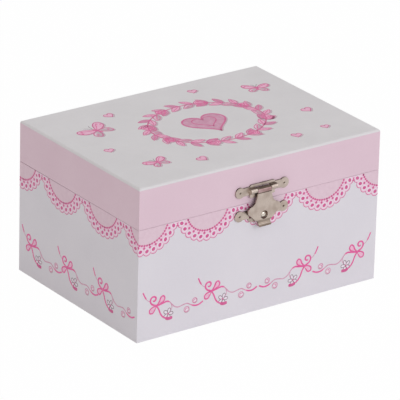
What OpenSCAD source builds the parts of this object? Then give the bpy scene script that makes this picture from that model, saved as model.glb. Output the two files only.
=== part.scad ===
// Ballerina jewellery box: a papered board box with a hinged lid and a nickel clasp.
// A musical movement under the platform turns a dancer, who folds forward as the lid shuts.
// Millimetres. The origin is at the centre of the underside, +Z is up and -Y is the front.

/* [Case] */
// Outside width of the box
case_w = 152; // [140:1:190]
// Outside depth of the box
case_d = 109; // [106:1:140]
// Height of the body, from its underside to the seam
case_h = 61.8; // [55:0.1:75]
// Thickness of the side boards
board_t = 5; // [4:0.5:6]
// Thickness of the floor board
floor_t = 3.5; // [2.5:0.5:4]
// Thickness of the felt under the base
felt_t = 0.5; // [0.3:0.1:0.8]

/* [Lid] */
// Height of the lid, from the seam to its top
lid_h = 22.6; // [22:0.1:30]
// Thickness of the top board
lid_top_t = 4; // [3:0.5:4.5]
// Gap between the lid and the body
seam_gap = 0.3; // [0.2:0.1:0.6]
// Radius of the rounded top edge
lid_edge_r = 1.2; // [0.8:0.1:2]
// Width of the mirror
mirror_w = 90; // [60:1:110]
// Depth of the mirror
mirror_d = 60; // [40:1:64]
// Thickness of the mirror
mirror_t = 1.6; // [1:0.1:2]
// How far the middle of the mirror lies in front of the middle of the lid
mirror_forward = 6; // [4:1:12]

/* [Paper and lining] */
// Thickness of the paper
paper_t = 0.3; // [0.2:0.05:0.5]
// Thickness of the flock lining
lining_t = 0.5; // [0.3:0.1:0.8]

/* [Platform and compartments] */
// Drop from the rim of the body to the top of the platform
deck_drop = 7.3; // [6.5:0.1:7.5]
// Thickness of the platform board
deck_t = 2.5; // [2:0.1:2.6]
// Thickness of the board in front of the movement
riser_t = 2.5; // [2:0.5:3]
// Width and height of the battens under the platform
cleat_s = 4; // [3:0.5:6]
// Clearance round a board that drops in
fit_gap = 0.2; // [0.1:0.05:0.3]
// Left face of the divider, to the right of the middle
divider_x = 24; // [10:1:34]
// Thickness of the divider
divider_t = 2; // [1.5:0.5:3]
// Height of the divider above the floor
divider_h = 30; // [20:1:40]
// Number of ring rolls
roll_count = 4; // [3:1:5]
// Height of a ring roll
roll_h = 25; // [18:1:28]
// Gap between two ring rolls
roll_gap = 0.9; // [0.6:0.1:1.5]
// Gap round each soft piece
soft_gap = 0.3; // [0.3:0.1:0.5]

/* [Fasteners] */
// Radius of a nail's shank
nail_r = 0.5; // [0.4:0.05:0.6]
// Radius of a nail's domed head
nail_head_r = 1.1; // [0.9:0.1:1.3]
// Height of a nail's head
nail_head_h = 0.5; // [0.4:0.1:0.7]
// How far a nail goes into the board
nail_bite = 3.6; // [2.5:0.1:3.6]
// Radius of a screw's shank
screw_r = 0.9; // [0.7:0.1:1]
// Radius of a screw's head
screw_head_r = 1.7; // [1.4:0.1:1.9]
// Height of a screw's head
screw_head_h = 0.9; // [0.7:0.1:1.2]
// Radial clearance of a nail or screw in its hole
fastener_gap = 0.02; // [0.01:0.01:0.05]

/* [Hinges] */
// Distance from the side of the box to the middle of each hinge
hinge_inset = 31; // [20:1:40]
// Width of a hinge
hinge_w = 18; // [14:1:24]
// Height of a leaf from the hinge line
leaf_h = 11; // [9:0.5:13]
// Thickness of a leaf
leaf_t = 0.8; // [0.6:0.1:1]
// Radius of a knuckle
knuckle_r = 1.5; // [1.3:0.1:1.8]
// Radius of a hinge pin
hinge_pin_r = 0.6; // [0.5:0.05:0.8]
// Gap between a knuckle and the wall, and between knuckles
knuckle_gap = 0.2; // [0.15:0.05:0.3]
// Reach of the stop tab past its knuckle
stop_tab = 1.3; // [1:0.1:1.5]
// Spacing of the two nails of a leaf
leaf_nail_gap = 11; // [8:1:11]
// Height of the leaf nails from the hinge line
leaf_nail_rise = 7.5; // [5:0.5:8]

/* [Clasp] */
// Distance between the ears of each clasp plate
ear_gap = 27.8; // [26:0.1:34]
// Radius of an ear
ear_r = 2.9; // [2.6:0.1:3.2]
// Half width of the middle of a clasp plate
plate_half = 8.4; // [8.2:0.1:9]
// Half height of the middle of the lid plate
plate_rise = 3.15; // [3:0.05:3.6]
// Height of the neck between the middle and an ear
plate_neck = 4.4; // [3.5:0.1:5]
// Thickness of the clasp plates and the hasp
clasp_t = 0.8; // [0.6:0.1:0.9]
// Height of the clasp pin above the seam
clasp_pin_rise = 6.85; // [6:0.05:8]
// Radius of the rolled eyes of the clasp
clasp_eye_r = 1.5; // [1.4:0.1:1.6]
// Radius of the clasp pin
clasp_pin_r = 0.7; // [0.6:0.05:0.8]
// Half width of the eye of the hasp
hasp_eye_half = 4.2; // [3.5:0.1:4.4]
// Half width of the hasp over its shoulders
hasp_half = 10.2; // [9.5:0.1:11]
// Radius of a shoulder of the hasp
shoulder_r = 2.6; // [2:0.1:3]
// Half width of the bill of the hasp
bill_half = 3.8; // [3:0.1:4.4]
// Reach of the case plate's middle below the stud
plate_below = 3.6; // [3:0.1:4]
// Reach of the case plate's middle above the stud
plate_above = 4.8; // [4:0.1:5]
// Drop from the seam to the stud
stud_drop = 7.1; // [6.6:0.1:8]
// Rise of the case plate's ears above the stud
ear_rise = 0.95; // [0.5:0.05:1.5]
// Radius of the stud
stud_r = 1.9; // [1.5:0.1:2]
// Radius of the hole in the hasp round the stud
hasp_hole_r = 2.3; // [2.1:0.1:2.6]
// Running clearance of the clasp
clasp_gap = 0.2; // [0.15:0.05:0.3]

/* [Movement frame] */
// Height of the winding axis above the underside
key_z = 16; // [16:0.5:18]
// Thickness of the bedplate
bed_t = 2.4; // [2:0.2:3]
// Height of the bedplate's lower edge above the floor
bed_lift = 1.5; // [1:0.5:3]
// Half width of the bedplate
bed_half = 28; // [28:1:34]
// Thickness of a bearing lug
lug_t = 2; // [1.5:0.1:2.2]
// Half width of a bearing lug
lug_half = 4; // [3:0.5:4.5]
// Radial clearance of a shaft in its bearing
bearing_gap = 0.05; // [0.02:0.01:0.08]
// End clearance between moving pieces
run_gap = 0.6; // [0.5:0.1:0.7]

/* [Spring and key] */
// Outside radius of the spring barrel
barrel_r = 10.5; // [10.2:0.1:11]
// Depth of the spring barrel
barrel_d = 9.1; // [7:0.1:10]
// Wall of the spring barrel
barrel_wall = 0.8; // [0.6:0.1:1]
// Radius of the winding arbor
arbor_r = 2; // [1.8:0.1:2.2]
// Thickness of the mainspring
spring_t = 0.4; // [0.3:0.05:0.5]
// Turns of the mainspring
spring_turns = 6; // [4:1:7]
// Teeth of the great wheel
wheel_teeth = 36; // [32:2:38]
// Thickness of the great wheel behind its teeth
wheel_t = 1.8; // [1.4:0.1:2]
// Radius of the escutcheon round the winding arbor
escutcheon_r = 6; // [5:0.5:8]
// Length of the key's hub
key_hub_l = 7.4; // [6:0.1:9]
// Length of the solid end of the key's hub
key_cap = 1.5; // [1:0.1:2]
// Radius of the key's hub
key_hub_r = 3.2; // [3:0.1:3.6]
// Radius of a wing of the key
wing_r = 5; // [4:0.5:5]
// Thickness of the wings
wing_t = 1.6; // [1.2:0.1:2]
// Distance from the axis to the middle of a wing
wing_x = 6.4; // [5.5:0.1:6.5]

/* [Cylinder and comb] */
// Tooth size of the great wheel and the cylinder's pinion
drive_module = 0.5; // [0.46:0.01:0.52]
// Teeth of the cylinder's pinion
pinion_teeth = 18; // [16:1:18]
// Radius of the cylinder
cylinder_r = 5.5; // [5:0.1:5.5]
// Gap between the movement and the platform's board
movement_gap = 1; // [0.6:0.1:2]
// Height of a music pin
music_pin_h = 0.4; // [0.3:0.05:0.4]
// Radius of the cylinder's arbor
cylinder_arbor_r = 1; // [0.8:0.1:1.2]
// Number of notes
notes = 18; // [12:1:18]
// Length of the comb's teeth
comb_tooth_l = 9.9; // [8:0.1:11]
// Width of the comb's root
comb_root = 6; // [5:0.5:6]
// Thickness of the comb
comb_t = 1; // [0.8:0.1:1.2]
// Clearance between the comb and the music pins
comb_gap = 0.2; // [0.15:0.05:0.4]

/* [Governor] */
// Tooth size of the cylinder gear and the governor's pinion
train_module = 0.3; // [0.28:0.01:0.31]
// Teeth of the cylinder gear
gear_teeth = 60; // [56:2:62]
// Teeth of the governor's pinion
governor_teeth = 12; // [10:2:12]
// Thickness of the cylinder gear
gear_t = 1.5; // [1:0.1:1.5]
// Tooth size of the worm wheel
worm_module = 0.35; // [0.32:0.01:0.36]
// Teeth of the worm wheel
worm_wheel_teeth = 24; // [20:4:24]
// Pitch radius of the worm
worm_r = 1.6; // [1.5:0.05:1.7]
// Length of the worm's thread
worm_l = 5; // [4:0.2:5]
// Radius of the governor's shafts
shaft_r = 0.5; // [0.4:0.05:0.6]
// Radius that the fly sweeps
fly_r = 3.2; // [2.6:0.1:3.2]
// Length of the fly along its shaft
fly_l = 3; // [2:0.2:3.2]
// Thickness of the fly's blades
fly_t = 0.4; // [0.3:0.1:0.5]
// Thickness of the governor bracket's plates
bracket_t = 1.5; // [1.2:0.1:1.8]

/* [Stop rod] */
// Radius of the rod
rod_r = 1; // [0.8:0.1:1.2]
// Radius of the rod's collar and cap
rod_cap_r = 2.2; // [1.8:0.1:2.4]
// Length of the spring under the collar
rod_spring_l = 11.2; // [8:0.2:14]

/* [Dancer] */
// Angle by which the shut lid folds the dancer forward
fold_angle = 82; // [80:1:84]
// Height of the fold above the platform
fold_rise = 5.5; // [5.5:0.1:6]
// Radius of the spring that the dancer stands on
dancer_spring_r = 2.2; // [2:0.1:2.3]
// Radius of the spring's bend when folded
bend_r = 2.6; // [2.5:0.1:2.8]
// Height of the dancer from the fold to her fingertips
dancer_h = 46; // [42:1:48]
// Radius of the tutu
tutu_r = 12; // [9:0.5:12]
// Thickness of the tutu at its middle
tutu_t = 3.4; // [2.5:0.1:4]

/* [Hidden] */

// Smoothness of small and large round pieces
fine = 24;
smooth = 48;
// A cut runs this far past the face it opens
cut = 1;

// Planes of the case
half_w = case_w / 2;
half_d = case_d / 2;
board_x = half_w - paper_t;
board_y = half_d - paper_t;
inner_x = board_x - board_t;
inner_y = board_y - board_t;
lined_x = inner_x - lining_t;
lined_y = inner_y - lining_t;
floor_top = felt_t + floor_t;
floor_z = floor_top + lining_t;
board_top = case_h - paper_t;

// Planes of the lid
lid_z = case_h + seam_gap;
box_h = lid_z + lid_h;
rail_z = lid_z + paper_t;
top_board_z = box_h - paper_t - lid_top_t;
lid_ceiling = top_board_z - lining_t;
seam_z = case_h + seam_gap / 2;

// Hinge line
hinge_x = half_w - hinge_inset;
hinge_y = half_d + knuckle_gap + knuckle_r;
leaf_nail_y = half_d + leaf_t;
outer_knuckle = hinge_w / 3 - knuckle_gap / 2;

// Clasp
clasp_pin_y = -(half_d + knuckle_gap / 2 + clasp_eye_r);
clasp_pin_z = seam_z + clasp_pin_rise;
clasp_face = half_d + clasp_t;
hasp_back = -clasp_pin_y + clasp_eye_r - clasp_t;
stud_z = seam_z - stud_drop;
case_ear_z = stud_z + ear_rise;
hasp_hole_z = stud_z;
knuckle_l = plate_half - hasp_eye_half - clasp_gap;

// Movement, from the back wall forwards
bed_y = lined_y - bed_t;
barrel_front = bed_y - barrel_d;
wheel_back = barrel_front - run_gap / 2;
drive_add = 0.85 * drive_module;
drive_ded = 1.2 * drive_module;
wheel_pitch_r = wheel_teeth * drive_module / 2;
pinion_pitch_r = pinion_teeth * drive_module / 2;
wheel_pitch_y = wheel_back - wheel_t - drive_ded;
axis_y = wheel_pitch_y - pinion_pitch_r;

// Movement, from the winding axis upwards
pinion_z = key_z + wheel_pitch_r;
pinion_l = 2.4;
low_lug_z = max(key_z + barrel_r, pinion_z + pinion_l / 2) + run_gap;
cylinder_z = low_lug_z + lug_t + run_gap;
bed_top = case_h - deck_drop - lining_t - deck_t - movement_gap;
high_lug_z = bed_top - run_gap / 2 - lug_t;
gear_z = high_lug_z - run_gap - gear_t;
cylinder_l = gear_z - run_gap - cylinder_z;
bed_bottom = floor_z + bed_lift;

// Cylinder, gears and governor
pin_tip_r = cylinder_r + music_pin_h;
train_add = 0.85 * train_module;
train_ded = 1.2 * train_module;
gear_pitch_r = gear_teeth * train_module / 2;
gear_tip_r = gear_pitch_r + train_add;
governor_pitch_r = governor_teeth * train_module / 2;
governor_x = gear_pitch_r + governor_pitch_r;
worm_add = 0.8 * worm_module;
worm_ded = 1.1 * worm_module;
worm_wheel_r = worm_wheel_teeth * worm_module / 2;
worm_wheel_t = 1;
worm_starts = 2;
worm_x = governor_x + worm_wheel_r + worm_r;
worm_z = cylinder_z + cylinder_l / 2 + run_gap;
worm_lead = worm_starts * PI * worm_module;
// Turn of the worm's outline at its front end that sets a groove on the wheel's tooth
worm_phase = 90 - 180 * worm_l / worm_lead;
// Free lengths between the worm's thread and the front cheek, and under the worm
worm_end = 2;
arm_drop = 3.5;
fly_y = axis_y + worm_wheel_r + worm_add + run_gap;
rear_cheek_y = fly_y + fly_l + run_gap;
front_cheek_y = axis_y - worm_l / 2 - worm_end - bracket_t;
bracket_x = worm_x + fly_r + run_gap;
cheek_half = 2;
arm_half = 1.6;
low_arm_z = worm_z - arm_drop - bracket_t;
high_arm_z = high_lug_z + run_gap / 2;
foot_w = bed_half - bracket_x - fit_gap;
foot_half = 4;
foot_z = worm_z + foot_half;

// Comb
comb_tip_x = -(pin_tip_r + comb_gap);
comb_front = axis_y - comb_t / 2;
comb_end = 0.3;
comb_pitch = (cylinder_l - 2 * comb_end) / notes;
comb_slot = 0.22;
comb_screw_x = comb_tip_x - comb_tooth_l - comb_root / 2;
comb_screw_gap = cylinder_l / 2 + cut;

// Platform
riser_back = axis_y - gear_tip_r - 2 * run_gap;
riser_front = riser_back - riser_t;
deck_z = case_h - deck_drop;
deck_board_z = deck_z - lining_t - deck_t;
deck_back = lined_y - fit_gap;
deck_half = lined_x - fit_gap;
well_back = riser_front - lining_t;
arbor_hole_r = cylinder_arbor_r + 0.6;

// Ring rolls fill the right compartment
roll_x = divider_x + divider_t + soft_gap;
roll_l = lined_x - soft_gap - roll_x;
roll_field = well_back + lined_y - 2 * soft_gap;
roll_w = (roll_field - (roll_count - 1) * roll_gap) / roll_count;

// Stop rod
rod_x = worm_x;
rod_y = fly_y + fly_l / 2;
rod_foot = worm_z + fly_r + soft_gap;
rod_top = lid_ceiling - soft_gap;
rod_spring_z = deck_z + soft_gap;
collar_z = rod_spring_z + rod_spring_l + soft_gap;
rod_cap_h = 1.6;
collar_h = 1;

// Dancer, measured from the fold along her own axis
fold_z = deck_z + fold_rise;
bend_leg = bend_r * tan(fold_angle / 2);
cup_lift = 0.4;
cup_gap = 0.1;
cup_r = 3.2;
cup_wall = 0.8;
cup_floor = 1.4;
cup_z = deck_z + cup_lift;
cup_top = fold_z - bend_leg - cup_gap;
spring_end = 4;
peg_r = 2.6;
peg_l = 2.5;
foot_s = spring_end + peg_l;
hip = dancer_h * 0.52;
shoulder = dancer_h * 0.735;
head_s = dancer_h * 0.87;
head_r = 2.4;

// Screws of the bedplate, as [x, z]
bed_screw_x = bed_half - 2.35 * screw_head_r;
bed_screw_low = key_z - 2.35 * screw_head_r;
bed_screw_high = bed_top - 1.8 * screw_head_r;
bed_screws = [[-bed_screw_x, bed_screw_low], [bed_screw_x, bed_screw_low], [-bed_screw_x, bed_screw_high]];

// ---- helpers ----

// Turns a child that stands on +Z so that it points along +Y, from [x, y, z]
module along_y(x, y, z) {
    translate([x, y, z]) rotate([-90, 0, 0]) children();
}

// Turns a child that stands on +Z so that it points along -Y, from [x, y, z]
module along_front(x, y, z) {
    translate([x, y, z]) rotate([90, 0, 0]) children();
}

// Turns a child that stands on +Z so that it points along +X, from [x, y, z]
module along_x(x, y, z) {
    translate([x, y, z]) rotate([0, 90, 0]) children();
}

// Box from one corner to the opposite one
module box(low, high) {
    translate(low) cube(high - low);
}

// Block centred on the Z axis from z = low to z = high
module block(half_x, half_y, low, high) {
    box([-half_x, -half_y, low], [half_x, half_y, high]);
}

// Spherical cap of base radius a and height h on z = 0
module dome(a, h) {
    ball = (a * a + h * h) / (2 * h);
    intersection() {
        translate([0, 0, h - ball]) sphere(r = ball, $fn = smooth);
        cylinder(r = a, h = h, $fn = smooth);
    }
}

// Nail that points along -Z, with its head on z = 0
module nail(through) {
    dome(nail_head_r, nail_head_h);
    translate([0, 0, -through - nail_bite]) {
        cylinder(r = nail_r, h = through + nail_bite, $fn = fine);
    }
}

// Hole for a nail that starts above z = 0
module nail_hole(through) {
    translate([0, 0, -through - nail_bite]) {
        cylinder(r = nail_r + fastener_gap, h = through + nail_bite + cut, $fn = fine);
    }
}

// Screw that points along -Z, with its slotted head on z = 0
module screw(length) {
    slot = 0.4;
    difference() {
        cylinder(r = screw_head_r, h = screw_head_h, $fn = smooth);
        box(
            [-screw_head_r, -slot / 2, screw_head_h - slot],
            [screw_head_r, slot / 2, screw_head_h + cut]
        );
    }
    translate([0, 0, -length]) cylinder(r = screw_r, h = length, $fn = fine);
}

// Hole for a screw that starts above z = 0
module screw_hole(length) {
    translate([0, 0, -length]) {
        cylinder(r = screw_r + fastener_gap, h = length + cut, $fn = fine);
    }
}

// Point of an outline at radius r and angle a
function polar(r, a) = [r * cos(a), r * sin(a)];

// Gear outline with straight-flanked teeth; shares are parts of the tooth pitch
module gear_outline(teeth, root_r, tip_r, root_share, tip_share, turn) {
    step = 360 / teeth;
    polygon([
        for (k = [0:teeth - 1], corner = [0:3])
            let (
                side = corner < 2 ? -1 : 1,
                tip = corner == 1 || corner == 2,
                share = tip ? tip_share : root_share
            )
            polar(tip ? tip_r : root_r, turn + step * (k + side * share / 2))
    ]);
}

// Outline w wide and h high from y = 0, with its two top corners rounded
module soft_outline(w, h, r) {
    translate([-w / 2, 0]) square([w, h - r]);
    translate([-w / 2 + r, 0]) square([w - 2 * r, h]);
    for (side = [-1, 1]) {
        translate([side * (w / 2 - r), h - r]) circle(r = r, $fn = smooth);
    }
}

// Lid outline as a solid whose four top edges are rounded, drawn in by inset
module lid_shape(inset) {
    w = case_w - 2 * inset;
    d = case_d - 2 * inset;
    h = lid_h - inset;
    r = lid_edge_r - inset;
    intersection() {
        translate([0, d / 2, lid_z]) rotate([90, 0, 0]) linear_extrude(d) soft_outline(w, h, r);
        translate([-w / 2, 0, lid_z]) rotate([90, 0, 90]) linear_extrude(w) soft_outline(d, h, r);
    }
}

// ---- places of the fasteners ----

// Nails of both leaves on one side of the hinge line; side is 1 for the lid and -1 for the case
module at_leaf_nails(side) {
    for (hinge = [-1, 1], nail = [-1, 1]) {
        along_y(
            hinge * hinge_x + nail * leaf_nail_gap / 2,
            leaf_nail_y,
            seam_z + side * leaf_nail_rise
        ) children();
    }
}

// Nails in the ears of a clasp plate
module at_ear_nails(z) {
    for (side = [-1, 1]) {
        along_front(side * ear_gap / 2, -clasp_face, z) children();
    }
}

// Stud on the case plate
module at_stud() {
    along_front(0, -clasp_face, stud_z) children();
}

// Screws through the bedplate into the back board
module at_bed_screws() {
    for (place = bed_screws) {
        along_front(place[0], bed_y, place[1]) children();
    }
}

// Screws through the comb into its block
module at_comb_screws() {
    for (side = [-1, 1]) {
        along_front(
            comb_screw_x,
            comb_front,
            cylinder_z + cylinder_l / 2 + side * comb_screw_gap / 2
        ) children();
    }
}

// Screw through the foot of the governor bracket
module at_bracket_screw() {
    along_front(bracket_x + bracket_t + foot_w / 2 - bracket_t / 2, bed_y - bracket_t, foot_z) children();
}

// Everything that is bored through the walls of the case
module case_bores() {
    at_leaf_nails(-1) nail_hole(leaf_t);
    at_ear_nails(case_ear_z) nail_hole(clasp_t);
    at_stud() nail_hole(clasp_t);
    at_bed_screws() screw_hole(bed_t + lining_t + nail_bite);
    along_y(0, bed_y, key_z) cylinder(r = arbor_r + 0.6, h = half_d - bed_y + cut, $fn = smooth);
}

// Everything that is bored through the rails of the lid
module lid_bores() {
    at_leaf_nails(1) nail_hole(leaf_t);
    at_ear_nails(clasp_pin_z) nail_hole(clasp_t);
}

// ---- case ----

// Board in front
module front_board() {
    color("burlywood") difference() {
        box([-board_x, -board_y, felt_t], [board_x, -inner_y, board_top]);
        case_bores();
    }
}

// Board at the back, with the hole for the winding arbor
module back_board() {
    color("burlywood") difference() {
        box([-board_x, inner_y, felt_t], [board_x, board_y, board_top]);
        case_bores();
    }
}

// Board at one end, between the front and the back
module end_board(side) {
    color("burlywood") translate([side * (inner_x + board_t / 2), 0, 0]) {
        block(board_t / 2, inner_y, felt_t, board_top);
    }
}

// Left end board
module left_board() {
    end_board(-1);
}

// Right end board
module right_board() {
    end_board(1);
}

// Floor between the side boards
module floor_board() {
    color("burlywood") block(inner_x, inner_y, felt_t, floor_top);
}

// Felt that the box stands on
module base_felt() {
    color("mistyrose") block(board_x, board_y, 0, felt_t);
}

// Printed wrap, turned over the rim
module case_paper() {
    color("ghostwhite") difference() {
        block(half_w, half_d, 0, case_h);
        block(board_x, board_y, -cut, board_top);
        block(inner_x, inner_y, 0, case_h + cut);
        case_bores();
    }
}

// Flock on the floor and the walls
module case_lining() {
    color("pink") difference() {
        block(inner_x, inner_y, floor_top, board_top);
        block(lined_x, lined_y, floor_z, board_top + cut);
        case_bores();
    }
}

// ---- platform and compartments ----

// Holes through the platform for the dancer's arbor and the stop rod
module deck_holes() {
    translate([0, axis_y, 0]) cylinder(r = arbor_hole_r, h = case_h, $fn = smooth);
    translate([rod_x, rod_y, 0]) cylinder(r = rod_r + bearing_gap, h = case_h, $fn = smooth);
}

// Platform that hides the movement
module deck_board() {
    color("burlywood") difference() {
        box([-deck_half, riser_front, deck_board_z], [deck_half, deck_back, deck_z - lining_t]);
        deck_holes();
    }
}

// Board in front of the movement
module deck_riser() {
    color("burlywood") box([-deck_half, riser_front, floor_z], [deck_half, riser_back, deck_board_z]);
}

// Battens that carry the ends of the platform
module deck_cleats() {
    color("burlywood") for (side = [-1, 1]) {
        translate([side * (lined_x - cleat_s / 2), 0, 0]) box(
            [-cleat_s / 2, riser_back, deck_board_z - cleat_s],
            [cleat_s / 2, deck_back, deck_board_z]
        );
    }
}

// Flock over the platform and its front
module deck_lining() {
    color("pink") difference() {
        box([-deck_half, well_back, floor_z], [deck_half, deck_back, deck_z]);
        box([-half_w, riser_front, 0], [half_w, half_d, deck_z - lining_t]);
        deck_holes();
    }
}

// Wall between the open compartment and the ring rolls
module divider() {
    color("pink") box(
        [divider_x, -lined_y, floor_z],
        [divider_x + divider_t, well_back, floor_z + divider_h]
    );
}

// Padded rolls that grip rings between them
module ring_rolls() {
    color("lightpink") for (k = [0:roll_count - 1]) {
        translate([
            roll_x,
            -lined_y + soft_gap + roll_w / 2 + k * (roll_w + roll_gap),
            floor_z + soft_gap
        ]) rotate([90, 0, 90]) linear_extrude(roll_l) {
            translate([-roll_w / 2, 0]) square([roll_w, roll_h - roll_w / 2]);
            translate([0, roll_h - roll_w / 2]) circle(r = roll_w / 2, $fn = smooth);
        }
    }
}

// ---- lid ----

// Board under the printed top
module lid_top_board() {
    color("burlywood") intersection() {
        lid_shape(paper_t);
        block(half_w, half_d, top_board_z, box_h);
    }
}

// Rail along the front or the back of the lid
module long_rail(side) {
    color("burlywood") difference() {
        translate([0, side * (inner_y + board_t / 2), 0]) {
            block(board_x, board_t / 2, rail_z, top_board_z);
        }
        lid_bores();
    }
}

// Rail at one end of the lid
module end_rail(side) {
    color("burlywood") translate([side * (inner_x + board_t / 2), 0, 0]) {
        block(board_t / 2, inner_y, rail_z, top_board_z);
    }
}

// Front rail
module lid_front_rail() {
    long_rail(-1);
}

// Back rail
module lid_back_rail() {
    long_rail(1);
}

// Left rail
module lid_left_rail() {
    end_rail(-1);
}

// Right rail
module lid_right_rail() {
    end_rail(1);
}

// Pink paper round the lid, turned in under its rim
module lid_side_paper() {
    color("thistle") difference() {
        block(half_w, half_d, lid_z, box_h - lid_edge_r);
        block(board_x, board_y, rail_z, box_h);
        block(inner_x, inner_y, 0, box_h);
        lid_bores();
    }
}

// Printed paper over the top and its rounded edge
module lid_top_paper() {
    color("whitesmoke") difference() {
        lid_shape(0);
        lid_shape(paper_t);
        block(half_w + cut, half_d + cut, 0, box_h - lid_edge_r);
    }
}

// Lining of the inside of the lid
module lid_lining() {
    color("pink") difference() {
        block(inner_x, inner_y, rail_z, top_board_z);
        block(lined_x, lined_y, 0, lid_ceiling);
        lid_bores();
    }
}

// Mirror on the ceiling of the lid
module mirror_glass() {
    color("lightsteelblue") translate([0, -mirror_forward, 0]) {
        block(mirror_w / 2, mirror_d / 2, lid_ceiling - mirror_t, lid_ceiling);
    }
}

// ---- hinges ----

// Knuckle on the hinge line over a stretch of x, with its bore for the pin
module knuckle(from, to, gap) {
    along_x(from, hinge_y, seam_z) difference() {
        cylinder(r = knuckle_r, h = to - from, $fn = smooth);
        translate([0, 0, -cut]) {
            cylinder(r = hinge_pin_r + gap, h = to - from + 2 * cut, $fn = smooth);
        }
    }
}

// Leaf on the case, with the two outer knuckles
module case_leaf(side) {
    middle = side * hinge_x;
    half = hinge_w / 2;
    inner = half - outer_knuckle;
    color("silver") difference() {
        union() {
            box([middle - half, half_d, seam_z - leaf_h], [middle + half, half_d + leaf_t, seam_z]);
            for (end = [-1, 1]) {
                along_x(middle + end * (inner + outer_knuckle / 2) - outer_knuckle / 2, hinge_y, seam_z) {
                    cylinder(r = knuckle_r, h = outer_knuckle, $fn = smooth);
                }
            }
        }
        box(
            [middle - inner, half_d - cut, seam_z - knuckle_r - knuckle_gap],
            [middle + inner, hinge_y + knuckle_r + cut, seam_z + knuckle_r]
        );
        along_x(middle - half - cut, hinge_y, seam_z) {
            cylinder(r = hinge_pin_r + fastener_gap, h = hinge_w + 2 * cut, $fn = smooth);
        }
        at_leaf_nails(-1) nail_hole(leaf_t);
    }
}

// Leaf on the lid, with the middle knuckle and the tab that stops the lid past upright
module lid_leaf(side) {
    middle = side * hinge_x;
    half = hinge_w / 2;
    inner = half - outer_knuckle - knuckle_gap;
    tab_t = 0.7;
    color("silver") difference() {
        union() {
            box(
                [middle - half, half_d, seam_z + knuckle_r + knuckle_gap],
                [middle + half, half_d + leaf_t, seam_z + leaf_h]
            );
            box([middle - inner, half_d, seam_z], [middle + inner, half_d + leaf_t, seam_z + leaf_h]);
            knuckle(middle - inner, middle + inner, bearing_gap);
            box(
                [middle - inner, hinge_y + knuckle_r - leaf_t / 2, seam_z - tab_t / 2],
                [middle + inner, hinge_y + knuckle_r + stop_tab, seam_z + tab_t / 2]
            );
        }
        along_x(middle - half - cut, hinge_y, seam_z) {
            cylinder(r = hinge_pin_r + bearing_gap, h = hinge_w + 2 * cut, $fn = smooth);
        }
        at_leaf_nails(1) nail_hole(leaf_t);
    }
}

// Left leaf on the case
module case_leaf_left() {
    case_leaf(-1);
}

// Right leaf on the case
module case_leaf_right() {
    case_leaf(1);
}

// Left leaf on the lid
module lid_leaf_left() {
    lid_leaf(-1);
}

// Right leaf on the lid
module lid_leaf_right() {
    lid_leaf(1);
}

// The pins of both hinges
module hinge_pins() {
    color("gray") for (side = [-1, 1]) {
        along_x(side * hinge_x - hinge_w / 2, hinge_y, seam_z) {
            cylinder(r = hinge_pin_r, h = hinge_w, $fn = smooth);
        }
    }
}

// Nails of the case leaves and the case plate
module case_nails() {
    color("silver") {
        at_leaf_nails(-1) nail(leaf_t);
        at_ear_nails(case_ear_z) nail(clasp_t);
    }
}

// Nails of the lid leaves and the lid plate
module lid_nails() {
    color("silver") {
        at_leaf_nails(1) nail(leaf_t);
        at_ear_nails(clasp_pin_z) nail(clasp_t);
    }
}

// ---- clasp ----

// Outline of a clasp plate in x and z: a chamfered middle, two necks and two ears
module plate_outline(low, high, ear_z) {
    chamfer = 1.2;
    polygon([
        [-plate_half + chamfer, low], [plate_half - chamfer, low],
        [plate_half, low + chamfer], [plate_half, high - chamfer],
        [plate_half - chamfer, high], [-plate_half + chamfer, high],
        [-plate_half, high - chamfer], [-plate_half, low + chamfer]
    ]);
    translate([-ear_gap / 2, ear_z - plate_neck / 2]) square([ear_gap, plate_neck]);
    for (side = [-1, 1]) {
        translate([side * ear_gap / 2, ear_z]) circle(r = ear_r, $fn = smooth);
    }
}

// Sheet on the front of the box, cut to an outline in x and z
module front_sheet(front, t) {
    translate([0, -front + t, 0]) rotate([90, 0, 0]) linear_extrude(t) children();
}

// Plate on the lid, with a window for the eye of the hasp between two knuckles
module lid_clasp_plate() {
    window_half = hasp_eye_half + 3 * clasp_gap;
    window_rise = clasp_eye_r + clasp_gap;
    color("silver") difference() {
        union() {
            front_sheet(clasp_face, clasp_t) {
                plate_outline(clasp_pin_z - plate_rise, clasp_pin_z + plate_rise, clasp_pin_z);
            }
            for (side = [-1, 1]) {
                along_x(side * (plate_half - knuckle_l / 2) - knuckle_l / 2, clasp_pin_y, clasp_pin_z) {
                    cylinder(r = clasp_eye_r, h = knuckle_l, $fn = smooth);
                }
            }
        }
        box(
            [-window_half, -clasp_face - cut, clasp_pin_z - window_rise],
            [window_half, -half_d + cut, clasp_pin_z + window_rise]
        );
        along_x(-plate_half - cut, clasp_pin_y, clasp_pin_z) {
            cylinder(r = clasp_pin_r + fastener_gap, h = 2 * (plate_half + cut), $fn = smooth);
        }
        at_ear_nails(clasp_pin_z) nail_hole(clasp_t);
    }
}

// Pin that the hasp swings on
module clasp_pin() {
    color("gray") along_x(-plate_half, clasp_pin_y, clasp_pin_z) {
        cylinder(r = clasp_pin_r, h = 2 * plate_half, $fn = smooth);
    }
}

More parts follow.
